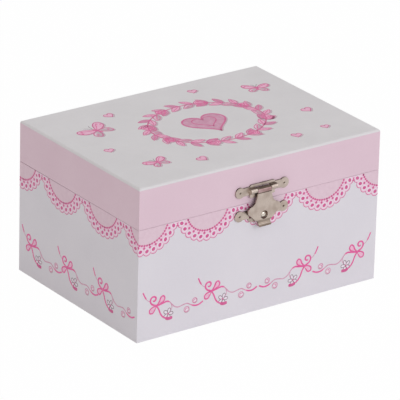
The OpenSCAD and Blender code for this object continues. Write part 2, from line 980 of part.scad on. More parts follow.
// Outline of the hasp: a neck that flares to round shoulders and draws in to the bill
module hasp_outline() {
    shoulder_x = hasp_half - shoulder_r;
    shoulder_z = hasp_hole_z + shoulder_r + 0.6;
    bill_z = hasp_hole_z - 3.4;
    neck_low = shoulder_z + shoulder_r + 1.8;
    right_half = [
        [hasp_eye_half, clasp_pin_z],
        [hasp_eye_half + 0.3, clasp_pin_z - 3],
        [hasp_eye_half + 1.4, neck_low],
        [shoulder_x, shoulder_z + shoulder_r],
        [hasp_half - 0.5, shoulder_z - shoulder_r / 2],
        [bill_half + 2.2, bill_z + 1.6],
        [bill_half, bill_z]
    ];
    left_half = [for (k = [len(right_half) - 1:-1:0]) [-right_half[k][0], right_half[k][1]]];
    polygon(concat(right_half, left_half));
    for (side = [-1, 1]) {
        translate([side * shoulder_x, shoulder_z]) circle(r = shoulder_r, $fn = smooth);
    }
}

// Hasp that hangs over the stud, with a rolled eye and a bill curled outwards
module hasp() {
    curl_r = 2;
    curl_angle = 80;
    lap = 3;
    bill_z = hasp_hole_z - 3.4;
    color("silver") difference() {
        union() {
            front_sheet(hasp_back + clasp_t, clasp_t) hasp_outline();
            along_x(-hasp_eye_half, clasp_pin_y, clasp_pin_z) {
                cylinder(r = clasp_eye_r, h = 2 * hasp_eye_half, $fn = smooth);
            }
            translate([-bill_half, -hasp_back - clasp_t / 2 - curl_r, bill_z]) {
                rotate([0, 90, 0]) rotate([0, 0, 90 - curl_angle]) rotate_extrude(
                    angle = curl_angle + lap,
                    $fn = smooth
                ) translate([curl_r - clasp_t / 2, 0]) square([clasp_t, 2 * bill_half]);
            }
        }
        along_x(-hasp_half, clasp_pin_y, clasp_pin_z) {
            cylinder(r = clasp_pin_r + bearing_gap, h = 2 * hasp_half, $fn = smooth);
        }
        along_front(0, -half_d, hasp_hole_z) cylinder(r = hasp_hole_r, h = 3 * clasp_eye_r, $fn = smooth);
    }
}

// Plate on the body, behind the hasp
module case_clasp_plate() {
    dimple = 0.6;
    color("silver") difference() {
        front_sheet(clasp_face, clasp_t) {
            plate_outline(stud_z - plate_below, stud_z + plate_above, case_ear_z);
        }
        at_ear_nails(case_ear_z) nail_hole(clasp_t);
        at_stud() nail_hole(clasp_t);
        for (side = [-1, 1]) {
            along_front(side * (plate_half - 1.1), -half_d + cut, stud_z - 0.8) {
                cylinder(r = dimple, h = clasp_t + 2 * cut, $fn = fine);
            }
        }
    }
}

// Domed stud that shows in the hole of the hasp
module clasp_stud() {
    rise = hasp_back - clasp_face - clasp_gap / 2;
    crown = 0.5;
    color("gainsboro") at_stud() {
        cylinder(r = stud_r, h = rise - crown, $fn = smooth);
        translate([0, 0, rise - crown]) dome(stud_r, crown);
        translate([0, 0, -clasp_t - nail_bite]) cylinder(r = nail_r, h = clasp_t + nail_bite, $fn = fine);
    }
}

// ---- movement: frame, spring and key ----

// Bearing lug that reaches from the bedplate round the cylinder's axis
module lug(z) {
    box([-lug_half, axis_y, z], [lug_half, bed_y, z + lug_t]);
    translate([0, axis_y, z]) cylinder(r = lug_half, h = lug_t, $fn = smooth);
}

// Cast bedplate on the back wall, with its two lugs and the block under the comb
module bedplate() {
    color("goldenrod") difference() {
        union() {
            box([-bed_half, bed_y, bed_bottom], [bed_half, lined_y, bed_top]);
            lug(low_lug_z);
            lug(high_lug_z);
            box(
                [comb_tip_x - comb_tooth_l - comb_root, comb_front + comb_t, cylinder_z],
                [comb_tip_x - comb_tooth_l, bed_y, cylinder_z + cylinder_l]
            );
        }
        translate([0, axis_y, low_lug_z - cut]) {
            cylinder(r = cylinder_arbor_r + bearing_gap, h = case_h, $fn = smooth);
        }
        along_y(0, bed_y - cut, key_z) {
            cylinder(r = arbor_r + bearing_gap, h = bed_t + 2 * cut, $fn = smooth);
        }
        at_bed_screws() screw_hole(bed_t + cut);
        at_comb_screws() screw_hole(comb_t + nail_bite);
        at_bracket_screw() screw_hole(bracket_t + bed_t / 2);
    }
}

// Wood screws of the bedplate
module movement_screws() {
    color("silver") at_bed_screws() screw(bed_t + lining_t + nail_bite);
}

// Cup round the mainspring, with a bearing for the arbor in its front
module spring_barrel() {
    color("gold") difference() {
        along_y(0, barrel_front, key_z) cylinder(r = barrel_r, h = barrel_d, $fn = smooth);
        along_y(0, barrel_front + barrel_wall, key_z) {
            cylinder(r = barrel_r - barrel_wall, h = barrel_d, $fn = smooth);
        }
        along_y(0, barrel_front - cut, key_z) {
            cylinder(r = arbor_r + bearing_gap, h = barrel_d, $fn = smooth);
        }
    }
}

// Spiral strip between the arbor and the barrel
module mainspring() {
    steps = 20;
    start_r = arbor_r + soft_gap + spring_t / 2;
    end_r = barrel_r - barrel_wall - soft_gap - spring_t / 2;
    last = spring_turns * steps;
    function middle(k) = start_r + (end_r - start_r) * k / last;
    outer = [for (k = [0:last]) polar(middle(k) + spring_t / 2, k * 360 / steps)];
    inner = [for (k = [last:-1:0]) polar(middle(k) - spring_t / 2, k * 360 / steps)];
    color("steelblue") along_y(0, barrel_front + barrel_wall + soft_gap, key_z) {
        linear_extrude(barrel_d - barrel_wall - 2 * soft_gap) polygon(concat(outer, inner));
    }
}

// Arbor that the key and the great wheel sit on
module winding_arbor() {
    front = wheel_back - wheel_t;
    back = half_d + leaf_t + knuckle_gap + key_hub_l - key_cap;
    color("silver") along_y(0, front, key_z) cylinder(r = arbor_r, h = back - front, $fn = smooth);
}

// Crown wheel whose teeth face the cylinder's pinion
module great_wheel() {
    step = 360 / wheel_teeth;
    tooth_share = 0.34;
    tooth_in = wheel_pitch_r - 0.6;
    tooth_out = wheel_pitch_r + 0.8;
    tooth_h = drive_ded + drive_add;
    color("gold") difference() {
        union() {
            along_front(0, wheel_back, key_z) cylinder(r = tooth_out, h = wheel_t, $fn = smooth);
            along_front(0, wheel_back - wheel_t + 0.2, key_z) linear_extrude(tooth_h + 0.2) {
                for (k = [0:wheel_teeth - 1]) {
                    polygon([
                        for (corner = [0:3])
                            let (
                                side = corner == 0 || corner == 3 ? -1 : 1,
                                r = corner < 2 ? tooth_in : tooth_out - 0.05
                            )
                            polar(r, 90 + step * (k + 0.5 + side * tooth_share / 2))
                    ]);
                }
            }
        }
        along_front(0, wheel_back + cut, key_z) {
            cylinder(r = arbor_r, h = wheel_t + tooth_h + 2 * cut, $fn = smooth);
        }
    }
}

// Butterfly key on the end of the arbor
module winding_key() {
    hub_y = half_d + leaf_t + knuckle_gap;
    wing_y = hub_y + key_hub_l + wing_r - 2;
    color("gainsboro") difference() {
        union() {
            along_y(0, hub_y, key_z) cylinder(r = key_hub_r, h = key_hub_l, $fn = smooth);
            for (side = [-1, 1]) {
                translate([side * wing_x, wing_y, key_z - wing_t / 2]) {
                    cylinder(r = wing_r, h = wing_t, $fn = smooth);
                }
            }
            box(
                [-wing_x, hub_y + key_hub_l - 1, key_z - wing_t / 2],
                [wing_x, wing_y + wing_r / 2, key_z + wing_t / 2]
            );
        }
        along_y(0, hub_y - cut, key_z) {
            cylinder(r = arbor_r, h = key_hub_l - key_cap + cut, $fn = smooth);
        }
        for (side = [-1, 1]) {
            translate([side * wing_x, wing_y, key_z - wing_t]) {
                cylinder(r = wing_r / 2.2, h = 2 * wing_t, $fn = smooth);
            }
        }
    }
}

// Ring on the back of the box round the winding arbor
module key_escutcheon() {
    color("silver") along_y(0, half_d, key_z) difference() {
        cylinder(r = escutcheon_r, h = leaf_t, $fn = smooth);
        translate([0, 0, -cut]) cylinder(r = arbor_r + 0.6, h = leaf_t + 2 * cut, $fn = smooth);
    }
}

// ---- movement: cylinder and comb ----

// Pinned cylinder; every note has three pins spread round it
module cylinder_drum() {
    pins = 3;
    pin_r = 0.18;
    pin_sides = 6;
    color("gold") translate([0, axis_y, cylinder_z]) difference() {
        union() {
            cylinder(r = cylinder_r, h = cylinder_l, $fn = smooth);
            for (note = [0:notes - 1], k = [0:pins - 1]) {
                translate([0, 0, comb_end + (note + 0.5) * comb_pitch]) {
                    rotate([0, 90, note * 83 + k * 120 + note * k * 17]) {
                        cylinder(r = pin_r, h = pin_tip_r, $fn = pin_sides);
                    }
                }
            }
        }
        translate([0, 0, -cut]) cylinder(r = cylinder_arbor_r, h = cylinder_l + 2 * cut, $fn = smooth);
    }
}

// Arbor of the cylinder, with the pinion cut on it
module cylinder_arbor() {
    root_r = pinion_pitch_r - drive_ded;
    tip_r = pinion_pitch_r + drive_add;
    low = pinion_z - pinion_l / 2;
    color("silver") translate([0, axis_y, 0]) {
        translate([0, 0, low]) linear_extrude(pinion_l) {
            gear_outline(pinion_teeth, root_r, tip_r, 0.5, 0.16, 90);
        }
        translate([0, 0, low]) cylinder(r = cylinder_arbor_r, h = cup_z + cup_floor - low, $fn = smooth);
    }
}

// Gear on top of the cylinder, which drives the governor
module cylinder_gear() {
    color("gold") translate([0, axis_y, gear_z]) difference() {
        linear_extrude(gear_t) {
            gear_outline(gear_teeth, gear_pitch_r - train_ded, gear_tip_r, 0.5, 0.2, 0);
        }
        translate([0, 0, -cut]) cylinder(r = cylinder_arbor_r, h = gear_t + 2 * cut, $fn = smooth);
    }
}

// Steel comb, one tooth to a note
module comb() {
    root_x = comb_tip_x - comb_tooth_l;
    color("lightslategray") difference() {
        union() {
            box(
                [root_x - comb_root, comb_front, cylinder_z],
                [root_x, comb_front + comb_t, cylinder_z + cylinder_l]
            );
            for (note = [0:notes - 1]) {
                low = cylinder_z + comb_end + note * comb_pitch + comb_slot / 2;
                box(
                    [root_x - comb_slot, comb_front, low],
                    [comb_tip_x, comb_front + comb_t / 2, low + comb_pitch - comb_slot]
                );
            }
        }
        at_comb_screws() screw_hole(comb_t + cut);
    }
}

// Small screws of the comb and the governor bracket
module machine_screws() {
    color("silver") {
        at_comb_screws() screw(comb_t + nail_bite);
        at_bracket_screw() screw(bracket_t + bed_t / 2);
    }
}

// ---- movement: governor ----

// Plate across the governor's shaft, with its bearing
module cheek(y) {
    difference() {
        box(
            [worm_x - cheek_half, y, worm_z - cheek_half],
            [bracket_x + bracket_t, y + bracket_t, worm_z + cheek_half]
        );
        along_y(worm_x, y - cut, worm_z) {
            cylinder(r = shaft_r + bearing_gap, h = bracket_t + 2 * cut, $fn = fine);
        }
    }
}

// Arm that carries one end of the governor's arbor
module arm(z) {
    difference() {
        union() {
            box(
                [governor_x, axis_y - arm_half, z],
                [bracket_x + bracket_t, axis_y + arm_half, z + bracket_t]
            );
            translate([governor_x, axis_y, z]) cylinder(r = arm_half, h = bracket_t, $fn = smooth);
        }
        translate([governor_x, axis_y, z - cut]) {
            cylinder(r = shaft_r + bearing_gap, h = bracket_t + 2 * cut, $fn = fine);
        }
    }
}

// Bracket that carries the governor, screwed to the bedplate
module governor_bracket() {
    color("silver") difference() {
        union() {
            box(
                [bracket_x, front_cheek_y, low_arm_z],
                [bracket_x + bracket_t, bed_y, high_arm_z + bracket_t]
            );
            cheek(front_cheek_y);
            cheek(rear_cheek_y);
            arm(low_arm_z);
            arm(high_arm_z);
            box(
                [bracket_x, bed_y - bracket_t, foot_z - foot_half],
                [bracket_x + foot_w, bed_y, foot_z + foot_half]
            );
        }
        at_bracket_screw() screw_hole(bracket_t + cut);
    }
}

// Governor's arbor, with its pinion in mesh with the cylinder gear
module governor_arbor() {
    root_r = governor_pitch_r - train_ded;
    tip_r = governor_pitch_r + train_add;
    half_tooth = 180 / governor_teeth;
    color("silver") translate([governor_x, axis_y, 0]) {
        translate([0, 0, low_arm_z]) {
            cylinder(r = shaft_r, h = high_arm_z + bracket_t - low_arm_z, $fn = fine);
        }
        translate([0, 0, gear_z]) linear_extrude(gear_t) {
            gear_outline(governor_teeth, root_r, tip_r, 0.5, 0.2, 180 + half_tooth);
        }
    }
}

// Worm wheel on the governor's arbor
module governor_wheel() {
    color("gold") translate([governor_x, axis_y, worm_z - worm_wheel_t / 2]) difference() {
        linear_extrude(worm_wheel_t) {
            gear_outline(
                worm_wheel_teeth,
                worm_wheel_r - worm_ded,
                worm_wheel_r + worm_add,
                0.46,
                0.22,
                0
            );
        }
        translate([0, 0, -cut]) cylinder(r = shaft_r, h = worm_wheel_t + 2 * cut, $fn = fine);
    }
}

// Two-start worm on the fly's shaft
module governor_worm() {
    core_r = worm_r - worm_ded;
    crest_r = worm_r + worm_add;
    crest_half = 24;
    root_half = 42;
    turns = worm_l / worm_lead;
    shaft_l = rear_cheek_y + bracket_t - front_cheek_y;
    color("silver") {
        along_y(worm_x, front_cheek_y, worm_z) cylinder(r = shaft_r, h = shaft_l, $fn = fine);
        along_y(worm_x, axis_y - worm_l / 2, worm_z) {
            linear_extrude(worm_l, twist = -360 * turns, slices = 48) {
                rotate([0, 0, worm_phase]) polygon([
                    for (start = [0:worm_starts - 1])
                        each [
                            polar(core_r, start * 180 - 66),
                            polar(core_r, start * 180 - root_half),
                            polar(crest_r, start * 180 - crest_half),
                            polar(crest_r, start * 180 + crest_half),
                            polar(core_r, start * 180 + root_half),
                            polar(core_r, start * 180 + 66)
                        ]
                ]);
            }
        }
    }
}

// Vane that brakes the governor
module fly() {
    color("gold") along_y(worm_x, fly_y, worm_z) difference() {
        union() {
            cylinder(r = 2 * shaft_r, h = fly_l, $fn = fine);
            translate([-fly_r + fly_t / 8, -fly_t / 2, 0]) cube([2 * fly_r - fly_t / 4, fly_t, fly_l]);
        }
        translate([0, 0, -cut]) cylinder(r = shaft_r, h = fly_l + 2 * cut, $fn = fine);
    }
}

// ---- stop rod ----

// Rod that the shut lid holds down on the fly
module stop_rod() {
    color("silver") translate([rod_x, rod_y, 0]) {
        translate([0, 0, rod_foot]) cylinder(r = rod_r, h = rod_top - rod_foot, $fn = smooth);
        translate([0, 0, collar_z]) cylinder(r = rod_cap_r, h = collar_h, $fn = smooth);
        translate([0, 0, rod_top - rod_cap_h]) cylinder(r = rod_cap_r, h = rod_cap_h, $fn = smooth);
    }
}

// Spring that lifts the rod, as the tube that its coils fill
module stop_spring() {
    color("gray") translate([rod_x, rod_y, rod_spring_z]) difference() {
        cylinder(r = rod_cap_r - soft_gap, h = rod_spring_l, $fn = smooth);
        translate([0, 0, -cut]) {
            cylinder(r = rod_r + soft_gap, h = rod_spring_l + 2 * cut, $fn = smooth);
        }
    }
}

// ---- dancer ----

// Cup on the arbor that grips the dancer's spring
module drive_cup() {
    color("gainsboro") translate([0, axis_y, cup_z]) difference() {
        cylinder(r = cup_r, h = cup_top - cup_z, $fn = smooth);
        translate([0, 0, cup_floor]) cylinder(r = cup_r - cup_wall, h = cup_top, $fn = smooth);
        translate([0, 0, -cut]) cylinder(r = cylinder_arbor_r, h = cup_top, $fn = smooth);
    }
}

// Puts a child that stands on z = 0 at the fold, along the folded dancer's axis
module folded() {
    translate([0, axis_y, fold_z]) rotate([fold_angle, 0, 0]) children();
}

// Bent spring, as the solid that its coils fill; its straight ends are a touch slimmer than the bend
module dancer_spring() {
    lap = 0.3;
    foot = cup_z + cup_floor + soft_gap;
    end_r = dancer_spring_r - 0.05;
    color("gray") {
        translate([0, axis_y, foot]) {
            cylinder(r = end_r, h = fold_z - bend_leg + lap - foot, $fn = smooth);
        }
        translate([0, axis_y - bend_r, fold_z - bend_leg]) rotate([90, 0, 90]) {
            rotate_extrude(angle = fold_angle, $fn = smooth) {
                translate([bend_r, 0]) circle(r = dancer_spring_r, $fn = smooth);
            }
        }
        folded() translate([0, 0, bend_leg - lap]) {
            cylinder(r = end_r, h = spring_end - soft_gap - bend_leg + lap, $fn = smooth);
        }
    }
}

// Limb from one point to another, as a cone with round ends
module limb(from, to, from_r, to_r) {
    span = to - from;
    reach = norm(span);
    lean = acos(span[2] / reach);
    heading = atan2(span[1], span[0]);
    translate(from) rotate([0, lean, heading]) {
        cylinder(r1 = from_r, r2 = to_r, h = reach, $fn = fine);
        sphere(r = from_r, $fn = fine);
        translate([0, 0, reach]) sphere(r = to_r, $fn = fine);
    }
}

// Dancer on her points, with her arms in a ring over her head
module dancer_figure() {
    elbow_x = 5.4;
    hand_x = 1.2;
    waist = hip + 3.6;
    knee = foot_s + 4;
    color("seashell") folded() {
        translate([0, 0, spring_end]) cylinder(r = peg_r, h = peg_l, $fn = smooth);
        for (side = [-1, 1]) {
            limb([side * 0.7, 0, foot_s - 0.3], [side * 0.9, 0, knee], 0.45, 0.75);
            limb([side * 0.9, 0, knee], [side * 1.3, 0, hip], 0.75, 1.25);
            limb([side * 2.2, 0, shoulder], [side * elbow_x, 0, head_s - 1.6], 0.75, 0.62);
            limb(
                [side * elbow_x, 0, head_s - 1.6],
                [side * hand_x, 0, dancer_h - 0.6],
                0.62,
                0.5
            );
        }
        limb([0, 0, hip], [0, 0, waist], 2.3, 1.7);
        limb([0, 0, waist], [0, 0, shoulder - 0.6], 1.7, 2.1);
        limb([-2.1, 0, shoulder], [2.1, 0, shoulder], 0.8, 0.8);
        limb([0, 0, shoulder], [0, 0, head_s], 0.8, 0.8);
        translate([0, 0, head_s]) sphere(r = head_r, $fn = smooth);
        translate([0, 0.9, head_s + head_r]) sphere(r = 1.1, $fn = fine);
    }
}

// Tutu round the dancer's hips
module dancer_tutu() {
    rim_t = 1;
    color("pink") folded() translate([0, 0, hip - tutu_t / 2]) difference() {
        union() {
            cylinder(r1 = tutu_r / 3, r2 = tutu_r, h = tutu_t - rim_t, $fn = smooth);
            translate([0, 0, tutu_t - rim_t]) cylinder(r = tutu_r, h = rim_t, $fn = smooth);
        }
        translate([0, 0, -cut]) cylinder(r = 2.3 + soft_gap, h = tutu_t + 2 * cut, $fn = smooth);
    }
}

// ---- assembly ----

front_board();
back_board();
left_board();
right_board();
floor_board();
base_felt();
case_paper();
case_lining();
deck_board();
deck_riser();
deck_cleats();
deck_lining();
divider();
ring_rolls();
lid_top_board();
lid_front_rail();
lid_back_rail();
lid_left_rail();
lid_right_rail();
lid_side_paper();
lid_top_paper();
lid_lining();
mirror_glass();  // mirror
case_leaf_left();
case_leaf_right();
lid_leaf_left();
lid_leaf_right();
hinge_pins();
case_nails();
lid_nails();
lid_clasp_plate();
clasp_pin();
hasp();
case_clasp_plate();
clasp_stud();
bedplate();
movement_screws();
spring_barrel();
mainspring();
winding_arbor();
great_wheel();
winding_key();
key_escutcheon();
cylinder_drum();  // cylinder
cylinder_arbor();
cylinder_gear();
comb();
machine_screws();
governor_bracket();
governor_arbor();
governor_wheel();
governor_worm();
fly();
stop_rod();
stop_spring();
drive_cup();
dancer_spring();
dancer_figure();
dancer_tutu();
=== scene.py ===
"""A papered jewellery box with a hinged lid, a nickel clasp and a dancer who turns to a musical movement.

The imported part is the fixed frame. Papers, prints, metal, flock and cloth are dressed or modelled round it.
Lengths are written in millimetres and made metres by MM.
"""

import logging
import math
import random
from collections.abc import Callable, Sequence
from dataclasses import dataclass, field
from enum import Enum

import bmesh
import bpy
from mathutils import Matrix, Vector


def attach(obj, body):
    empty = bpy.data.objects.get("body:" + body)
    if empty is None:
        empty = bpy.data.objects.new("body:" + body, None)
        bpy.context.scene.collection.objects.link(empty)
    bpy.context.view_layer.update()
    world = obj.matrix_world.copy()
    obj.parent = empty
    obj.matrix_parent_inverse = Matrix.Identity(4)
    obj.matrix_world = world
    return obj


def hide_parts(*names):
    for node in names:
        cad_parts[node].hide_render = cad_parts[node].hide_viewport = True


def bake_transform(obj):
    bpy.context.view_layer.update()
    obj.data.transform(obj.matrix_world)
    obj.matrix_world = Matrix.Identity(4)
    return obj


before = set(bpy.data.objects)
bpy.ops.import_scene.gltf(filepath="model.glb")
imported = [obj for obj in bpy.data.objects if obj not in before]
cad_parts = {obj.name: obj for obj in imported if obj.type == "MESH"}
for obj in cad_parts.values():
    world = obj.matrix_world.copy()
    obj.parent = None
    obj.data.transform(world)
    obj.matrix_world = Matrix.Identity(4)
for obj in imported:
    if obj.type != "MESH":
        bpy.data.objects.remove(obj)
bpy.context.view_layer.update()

LOG = logging.getLogger("jewellery_box")
MM = 0.001
Colour = tuple[float, float, float]
Point = tuple[float, float]
Place = tuple[float, float, float]
Knot = tuple[float, float, float, float]


# ---------------------------------------------------------------- finishes


def rgba(colour: Colour) -> tuple[float, float, float, float]:
    """Adds a full alpha to a linear colour."""
    return (*colour, 1.0)


def srgb(red: float, green: float, blue: float) -> Colour:
    """Turns display values from 0 to 255 into a linear colour.

    Args:
        red: Red as displayed.
        green: Green as displayed.
        blue: Blue as displayed.

    Returns:
        The same colour in linear light.
    """

    def linear(value: float) -> float:
        """Linear light of one display value."""
        share = value / 255
        return share / 12.92 if share <= 0.04045 else ((share + 0.055) / 1.055) ** 2.4

    return (linear(red), linear(green), linear(blue))


class Shader:
    """A node material under construction, with the few node groups that the finishes share."""

    def __init__(self, name: str) -> None:
        """Starts a material with one Principled shader and Object coordinates."""
        self.material = bpy.data.materials.new(name)
        self.material.use_nodes = True
        self.tree = self.material.node_tree
        self.bsdf = self.tree.nodes["Principled BSDF"]
        self.coords = self.tree.nodes.new("ShaderNodeTexCoord").outputs["Object"]

    def link(self, source: bpy.types.NodeSocket, target: bpy.types.NodeSocket) -> None:
        """Joins two sockets."""
        self.tree.links.new(source, target)

    def set(self, **values: float | Sequence[float]) -> None:
        """Sets the shader's own sockets; underscores in the names stand for spaces."""
        for name, value in values.items():
            self.bsdf.inputs[name.replace("_", " ")].default_value = value

    def stretched(self, scale: Sequence[float]) -> bpy.types.NodeSocket:
        """Object coordinates stretched by a factor for each axis."""
        node = self.tree.nodes.new("ShaderNodeMapping")
        node.inputs["Scale"].default_value = tuple(scale)
        self.link(self.coords, node.inputs["Vector"])
        return node.outputs["Vector"]

    def noise(
        self, scale: float, detail: float = 2.0, vector: bpy.types.NodeSocket | None = None
    ) -> bpy.types.NodeSocket:
        """Noise from 0 to 1.

        Args:
            scale: Features per metre.
            detail: Octaves.
            vector: Coordinates, if not plain Object coordinates.

        Returns:
            The noise's value socket.
        """
        node = self.tree.nodes.new("ShaderNodeTexNoise")
        node.inputs["Scale"].default_value = scale
        node.inputs["Detail"].default_value = detail
        self.link(vector or self.coords, node.inputs["Vector"])
        return node.outputs["Fac"]

    def cells(self, scale: float) -> bpy.types.NodeSocket:
        """Distance to the nearest of many scattered points, for pile and grain."""
        node = self.tree.nodes.new("ShaderNodeTexVoronoi")
        node.inputs["Scale"].default_value = scale
        self.link(self.coords, node.inputs["Vector"])
        return node.outputs["Distance"]

    def spread(
        self, value: bpy.types.NodeSocket, low: float, high: float, start: float, end: float
    ) -> bpy.types.NodeSocket:
        """Maps a value from one range onto another, clamped.

        Args:
            value: Socket to map.
            low: Value that becomes start.
            high: Value that becomes end.
            start: Result at low.
            end: Result at high.

        Returns:
            The mapped value.
        """
        node = self.tree.nodes.new("ShaderNodeMapRange")
        for name, number in zip(
            ("From Min", "From Max", "To Min", "To Max"), (low, high, start, end), strict=True
        ):
            node.inputs[name].default_value = number
        self.link(value, node.inputs["Value"])
        return node.outputs["Result"]

    def math(
        self, operation: str, first: bpy.types.NodeSocket, second: bpy.types.NodeSocket | float
    ) -> bpy.types.NodeSocket:
        """One Math node."""
        node = self.tree.nodes.new("ShaderNodeMath")
        node.operation = operation
        self.link(first, node.inputs[0])
        if isinstance(second, bpy.types.NodeSocket):
            self.link(second, node.inputs[1])
        else:
            node.inputs[1].default_value = second
        return node.outputs["Value"]

    def blend(
        self,
        share: bpy.types.NodeSocket,
        first: Colour | bpy.types.NodeSocket,
        second: Colour | bpy.types.NodeSocket,
    ) -> bpy.types.NodeSocket:
        """Colour between two, by a share from 0 to 1."""
        node = self.tree.nodes.new("ShaderNodeMix")
        node.data_type = "RGBA"
        self.link(share, node.inputs[0])
        for socket, colour in ((node.inputs[6], first), (node.inputs[7], second)):
            if isinstance(colour, bpy.types.NodeSocket):
                self.link(colour, socket)
            else:
                socket.default_value = rgba(colour)
        return node.outputs[2]

    def bump(self, height: bpy.types.NodeSocket, depth: float, strength: float = 1.0) -> None:
        """Adds relief of a depth in metres."""
        node = self.tree.nodes.new("ShaderNodeBump")
        node.inputs["Strength"].default_value = strength
        node.inputs["Distance"].default_value = depth
        self.link(height, node.inputs["Height"])
        self.link(node.outputs["Normal"], self.bsdf.inputs["Normal"])

    def colour(self, socket: bpy.types.NodeSocket) -> None:
        """Links the base colour."""
        self.link(socket, self.bsdf.inputs["Base Color"])

    def roughness(self, socket: bpy.types.NodeSocket) -> None:
        """Links the roughness."""
        self.link(socket, self.bsdf.inputs["Roughness"])


@dataclass(frozen=True)
class Paper:
    """Coated paper glued to board: a faint orange-peel, soft mottling and a slight gloss.

    Attributes:
        name: Material name.
        colour: Colour of the sheet.
        worn: Colour towards which it drifts in patches.
        gloss: Roughness of the coating.
        slot: Material slot of the record.
    """

    name: str
    colour: Colour
    worn: Colour
    gloss: float = 0.42
    slot: str = "print_paper"

    def material(self) -> bpy.types.Material:
        """Builds the node material."""
        sh = Shader(self.name)
        patches = sh.spread(sh.noise(28, 3), 0.35, 0.7, 0, 1)
        fibre = sh.spread(sh.noise(900, 4), 0.3, 0.75, 0, 0.35)
        sh.colour(sh.blend(sh.math("ADD", sh.math("MULTIPLY", patches, 0.65), fibre), self.colour, self.worn))
        sh.roughness(sh.spread(sh.noise(160, 3), 0.3, 0.7, self.gloss - 0.06, self.gloss + 0.1))
        grain = sh.math("ADD", sh.noise(1400, 3), sh.math("MULTIPLY", sh.noise(190, 2), 1.6))
        sh.bump(grain, 0.00003, 0.5)
        sh.set(Coat_Weight=0.05, Coat_Roughness=0.28, Specular_IOR_Level=0.35)
        return sh.material


@dataclass(frozen=True)
class Ink:
    """Printed ink on paper, a little uneven in strength.

    Attributes:
        name: Material name.
        colour: Full strength.
        pale: Where the ink is thin.
        slot: Material slot of the record.
    """

    name: str
    colour: Colour
    pale: Colour
    slot: str = "print_paper"

    def material(self) -> bpy.types.Material:
        """Builds the node material."""
        sh = Shader(self.name)
        share = sh.spread(sh.noise(420, 3), 0.38, 0.72, 0, 1)
        sh.colour(sh.blend(share, self.colour, self.pale))
        sh.roughness(sh.spread(sh.noise(700, 2), 0.3, 0.7, 0.36, 0.5))
        sh.bump(sh.noise(1500, 2), 0.00002, 0.4)
        sh.set(Coat_Weight=0.05, Coat_Roughness=0.25, Specular_IOR_Level=0.35)
        return sh.material


@dataclass(frozen=True)
class Metal:
    """Plated, cast or cut metal with faint marks and stains.

    Attributes:
        name: Material name.
        colour: Colour of the clean metal.
        stain: Colour of dull patches.
        low: Least roughness.
        high: Greatest roughness.
        brush: Stretch of the fine marks along x, y and z.
        relief: Depth of the marks in metres.
        slot: Material slot of the record.
    """

    name: str
    colour: Colour
    stain: Colour
    low: float
    high: float
    brush: Sequence[float] = (1, 1, 1)
    relief: float = 0.00001
    slot: str = "nickel"

    def material(self) -> bpy.types.Material:
        """Builds the node material."""
        sh = Shader(self.name)
        marks = sh.noise(2200, 3, sh.stretched(self.brush))
        patches = sh.spread(sh.noise(240, 4), 0.42, 0.7, 0, 1)
        sh.colour(sh.blend(patches, self.colour, self.stain))
        worn = sh.math("ADD", sh.math("MULTIPLY", patches, 0.5), sh.math("MULTIPLY", marks, 0.5))
        sh.roughness(sh.spread(worn, 0.15, 0.75, self.low, self.high))
        sh.bump(marks, self.relief, 0.6)
        sh.set(Metallic=1.0)
        return sh.material


@dataclass(frozen=True)
class Pile:
    """Flocked or felted cloth: short fibres that catch the light at grazing angles.

    Attributes:
        name: Material name.
        colour: Colour of the fibres.
        shade: Colour between them.
        tuft: Tufts per metre.
        depth: Relief in metres.
        slot: Material slot of the record.
    """

    name: str
    colour: Colour
    shade: Colour
    tuft: float = 2600
    depth: float = 0.00018
    slot: str = "flock"

    def material(self) -> bpy.types.Material:
        """Builds the node material."""
        sh = Shader(self.name)
        tufts = sh.cells(self.tuft)
        brushed = sh.spread(sh.noise(60, 4), 0.3, 0.75, 0, 0.6)
        share = sh.math("ADD", sh.math("MULTIPLY", tufts, 0.7), sh.math("MULTIPLY", brushed, 0.5))
        sh.colour(sh.blend(sh.spread(share, 0.1, 0.85, 0, 1), self.colour, self.shade))
        sh.bump(sh.math("ADD", tufts, sh.noise(self.tuft * 1.7, 3)), self.depth, 0.55)
        sh.set(Roughness=0.95, Specular_IOR_Level=0.25)
        sh.set(Sheen_Weight=0.45, Sheen_Roughness=0.5, Sheen_Tint=rgba((0.95, 0.8, 0.86)))
        return sh.material


@dataclass(frozen=True)
class Fibreboard:
    """Grey-brown board with short fibres, seen only at cut edges and inside."""

    name: str = "fibreboard"
    slot: str = "board"

    def material(self) -> bpy.types.Material:
        """Builds the node material."""
        sh = Shader(self.name)
        fibres = sh.noise(700, 5, sh.stretched((1, 1, 4)))
        share = sh.spread(fibres, 0.3, 0.72, 0, 1)
        sh.colour(sh.blend(share, srgb(176, 142, 106), srgb(120, 90, 62)))
        sh.bump(fibres, 0.00012, 0.6)
        sh.set(Roughness=0.88)
        return sh.material


@dataclass(frozen=True)
class Mirror:
    """Silvered glass with a faint uneven haze."""

    name: str = "mirror_glass"
    slot: str = "mirror_glass"

    def material(self) -> bpy.types.Material:
        """Builds the node material."""
        sh = Shader(self.name)
        haze = sh.noise(35, 3)
        sh.colour(sh.blend(sh.spread(haze, 0.4, 0.8, 0, 1), (0.9, 0.92, 0.93), (0.84, 0.87, 0.88)))
        sh.roughness(sh.spread(haze, 0.45, 0.8, 0.012, 0.04))
        sh.set(Metallic=1.0, Coat_Weight=0.6, Coat_Roughness=0.02)
        return sh.material


